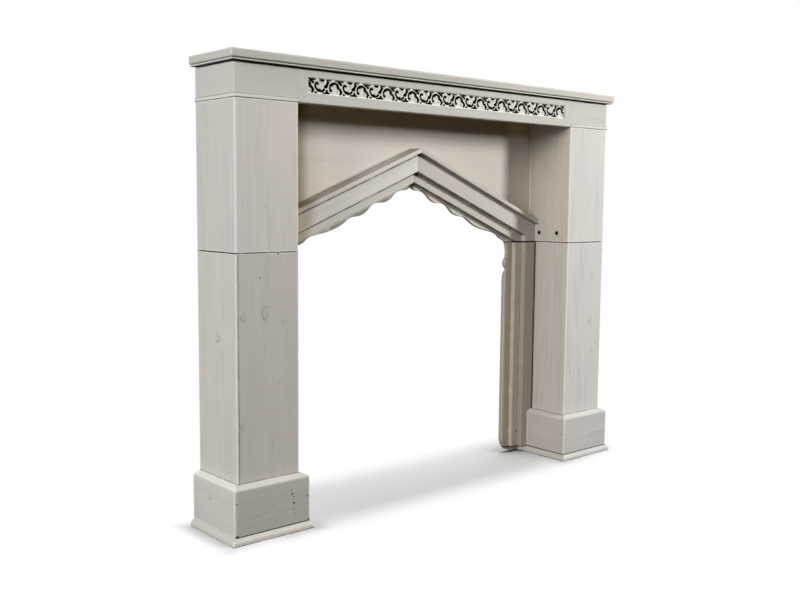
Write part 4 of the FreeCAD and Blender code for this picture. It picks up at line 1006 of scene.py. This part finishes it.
def floor():
    me = bpy.data.meshes.new("floor")
    me.from_pydata([(-40, -40, 0), (40, -40, 0), (40, 40, 0), (-40, 40, 0)], [], [(0, 1, 2, 3)])
    ob = bpy.data.objects.new("floor", me)
    SCENE.collection.objects.link(ob)
    mat = bpy.data.materials.new("floor")
    mat.use_nodes = True
    t = mat.node_tree
    t.nodes.clear()
    n = Net(t)
    out = n.node("ShaderNodeOutputMaterial")
    lit = n.node("ShaderNodeBsdfDiffuse")
    lit.inputs["Color"].default_value = (FLOOR_GAIN, FLOOR_GAIN, FLOOR_GAIN, 1)
    plain = n.node("ShaderNodeEmission")
    plain.inputs["Color"].default_value = (1, 1, 1, 1)
    px, py, pz = n.split(n.node("ShaderNodeTexCoord").outputs["Object"])
    side = n.step(n.m("ABSOLUTE", px), 0.46, 0.60)
    ahead = n.m("MAXIMUM", n.step(py, 0.10, 0.26), n.step(py, -0.03, -0.17))
    # the soft line of shade round the foot of each leg
    out_x = n.m("SUBTRACT", n.m("ABSOLUTE", n.m("SUBTRACT", n.m("ABSOLUTE", px), 0.571)), 0.112)
    out_y = n.m("SUBTRACT", n.m("ABSOLUTE", py), 0.094)
    foot = n.step(n.m("MAXIMUM", out_x, out_y), 0.045, 0.000, 0.0, 0.55)
    seen = n.node("ShaderNodeMixShader")
    n.put(seen.inputs[0], n.m("SUBTRACT", n.m("MAXIMUM", side, ahead), foot, clamp=True))
    t.links.new(lit.outputs[0], seen.inputs[1])
    t.links.new(plain.outputs[0], seen.inputs[2])
    other = n.node("ShaderNodeBsdfDiffuse")
    other.inputs["Color"].default_value = (0.12, 0.112, 0.10, 1)
    ray = n.node("ShaderNodeLightPath").outputs["Is Camera Ray"]
    mixer = n.node("ShaderNodeMixShader")
    n.put(mixer.inputs[0], ray)
    t.links.new(other.outputs[0], mixer.inputs[1])
    t.links.new(seen.outputs[0], mixer.inputs[2])
    t.links.new(mixer.outputs[0], out.inputs[0])
    me.materials.append(mat)
    return ob


def world():
    w = bpy.data.worlds.new("studio")
    SCENE.world = w
    w.use_nodes = True
    t = w.node_tree
    t.nodes.clear()
    n = Net(t)
    out = n.node("ShaderNodeOutputWorld")
    bg = n.node("ShaderNodeBackground")
    ray = n.node("ShaderNodeLightPath").outputs["Is Camera Ray"]
    D = n.node("ShaderNodeTexCoord").outputs["Generated"]
    x, y, z = n.split(D)
    up = n.step(z, 0.0, 0.9, 0.10, 1.0, "LINEAR")
    soft = n.mix(up, (0, 0, 0, 1), (0.05, 0.049, 0.047, 1))
    col = n.mix(ray, soft, (1.0, 1.0, 1.0, 1))
    n.put(bg.inputs["Color"], col)
    bg.inputs["Strength"].default_value = 1.0
    t.links.new(bg.outputs[0], out.inputs[0])


def area(name, at, aim, size, power, colour=(1, 1, 1), size_y=None):
    l = bpy.data.lights.new(name, "AREA")
    l.energy = power
    l.color = colour
    l.shape = "RECTANGLE"
    l.size = size
    l.size_y = size_y or size
    ob = bpy.data.objects.new(name, l)
    SCENE.collection.objects.link(ob)
    ob.location = at
    d = (Vector(aim) - Vector(at)).normalized()
    ob.rotation_euler = d.to_track_quat("-Z", "Y").to_euler()
    ob.visible_camera = False
    return ob


def camera():
    c = bpy.data.cameras.new("camera")
    c.sensor_width = 36.0
    c.lens = 43.068
    c.clip_start, c.clip_end = 0.05, 100
    ob = bpy.data.objects.new("camera", c)
    SCENE.collection.objects.link(ob)
    yaw, pitch, roll = 0.715135, -0.101633, 0.008722
    f = Vector((math.sin(yaw) * math.cos(pitch), math.cos(yaw) * math.cos(pitch), math.sin(pitch)))
    r = Vector((math.cos(yaw), -math.sin(yaw), 0))
    u = r.cross(f)
    r2 = math.cos(roll) * r + math.sin(roll) * u
    u2 = -math.sin(roll) * r + math.cos(roll) * u
    at = Vector((-1.76319, -1.99961 + WALL, 0.77249))
    m = Matrix.Identity(4)
    for row in range(3):
        m[row][0], m[row][1], m[row][2], m[row][3] = r2[row], u2[row], -f[row], at[row]
    ob.matrix_world = m
    SCENE.camera = ob


ground = floor()
world()
lamps = [
    area("key", (2.26, -2.60, 1.80), (0, 0, 0.8), 0.50, 105, (1.0, 0.985, 0.965), 0.9),
    area("left_fill", (-4.5, -1.3, 1.9), (-0.2, 0, 0.7), 2.0, 172, (1.0, 0.992, 0.980), 1.4),
    area("back_fill", (0.8, 3.2, 2.2), (0, 0, 0.6), 1.6, 34, (1.0, 0.99, 0.97)),
    area("top_fill", (0.0, -0.4, 3.2), (0, 0, 0.5), 2.0, 14, (1.0, 0.995, 0.985)),
]
overhead = area("overhead", (0.45, -0.10, 3.3), (0, 0, 0), 1.9, 140, (1, 1, 1))
# the overhead lamp lights only the floor, the others only the piece
piece = bpy.data.collections.new("lit_piece")
under = bpy.data.collections.new("lit_floor")
for ob in SCENE.objects:
    if ob.type == "MESH":
        (under if ob == ground else piece).objects.link(ob)
for lamp in lamps:
    lamp.light_linking.receiver_collection = piece
overhead.light_linking.receiver_collection = under
camera()

SCENE.view_settings.view_transform = "Standard"
SCENE.view_settings.look = "None"
SCENE.view_settings.exposure = 0.0
SCENE.view_settings.gamma = 1.0
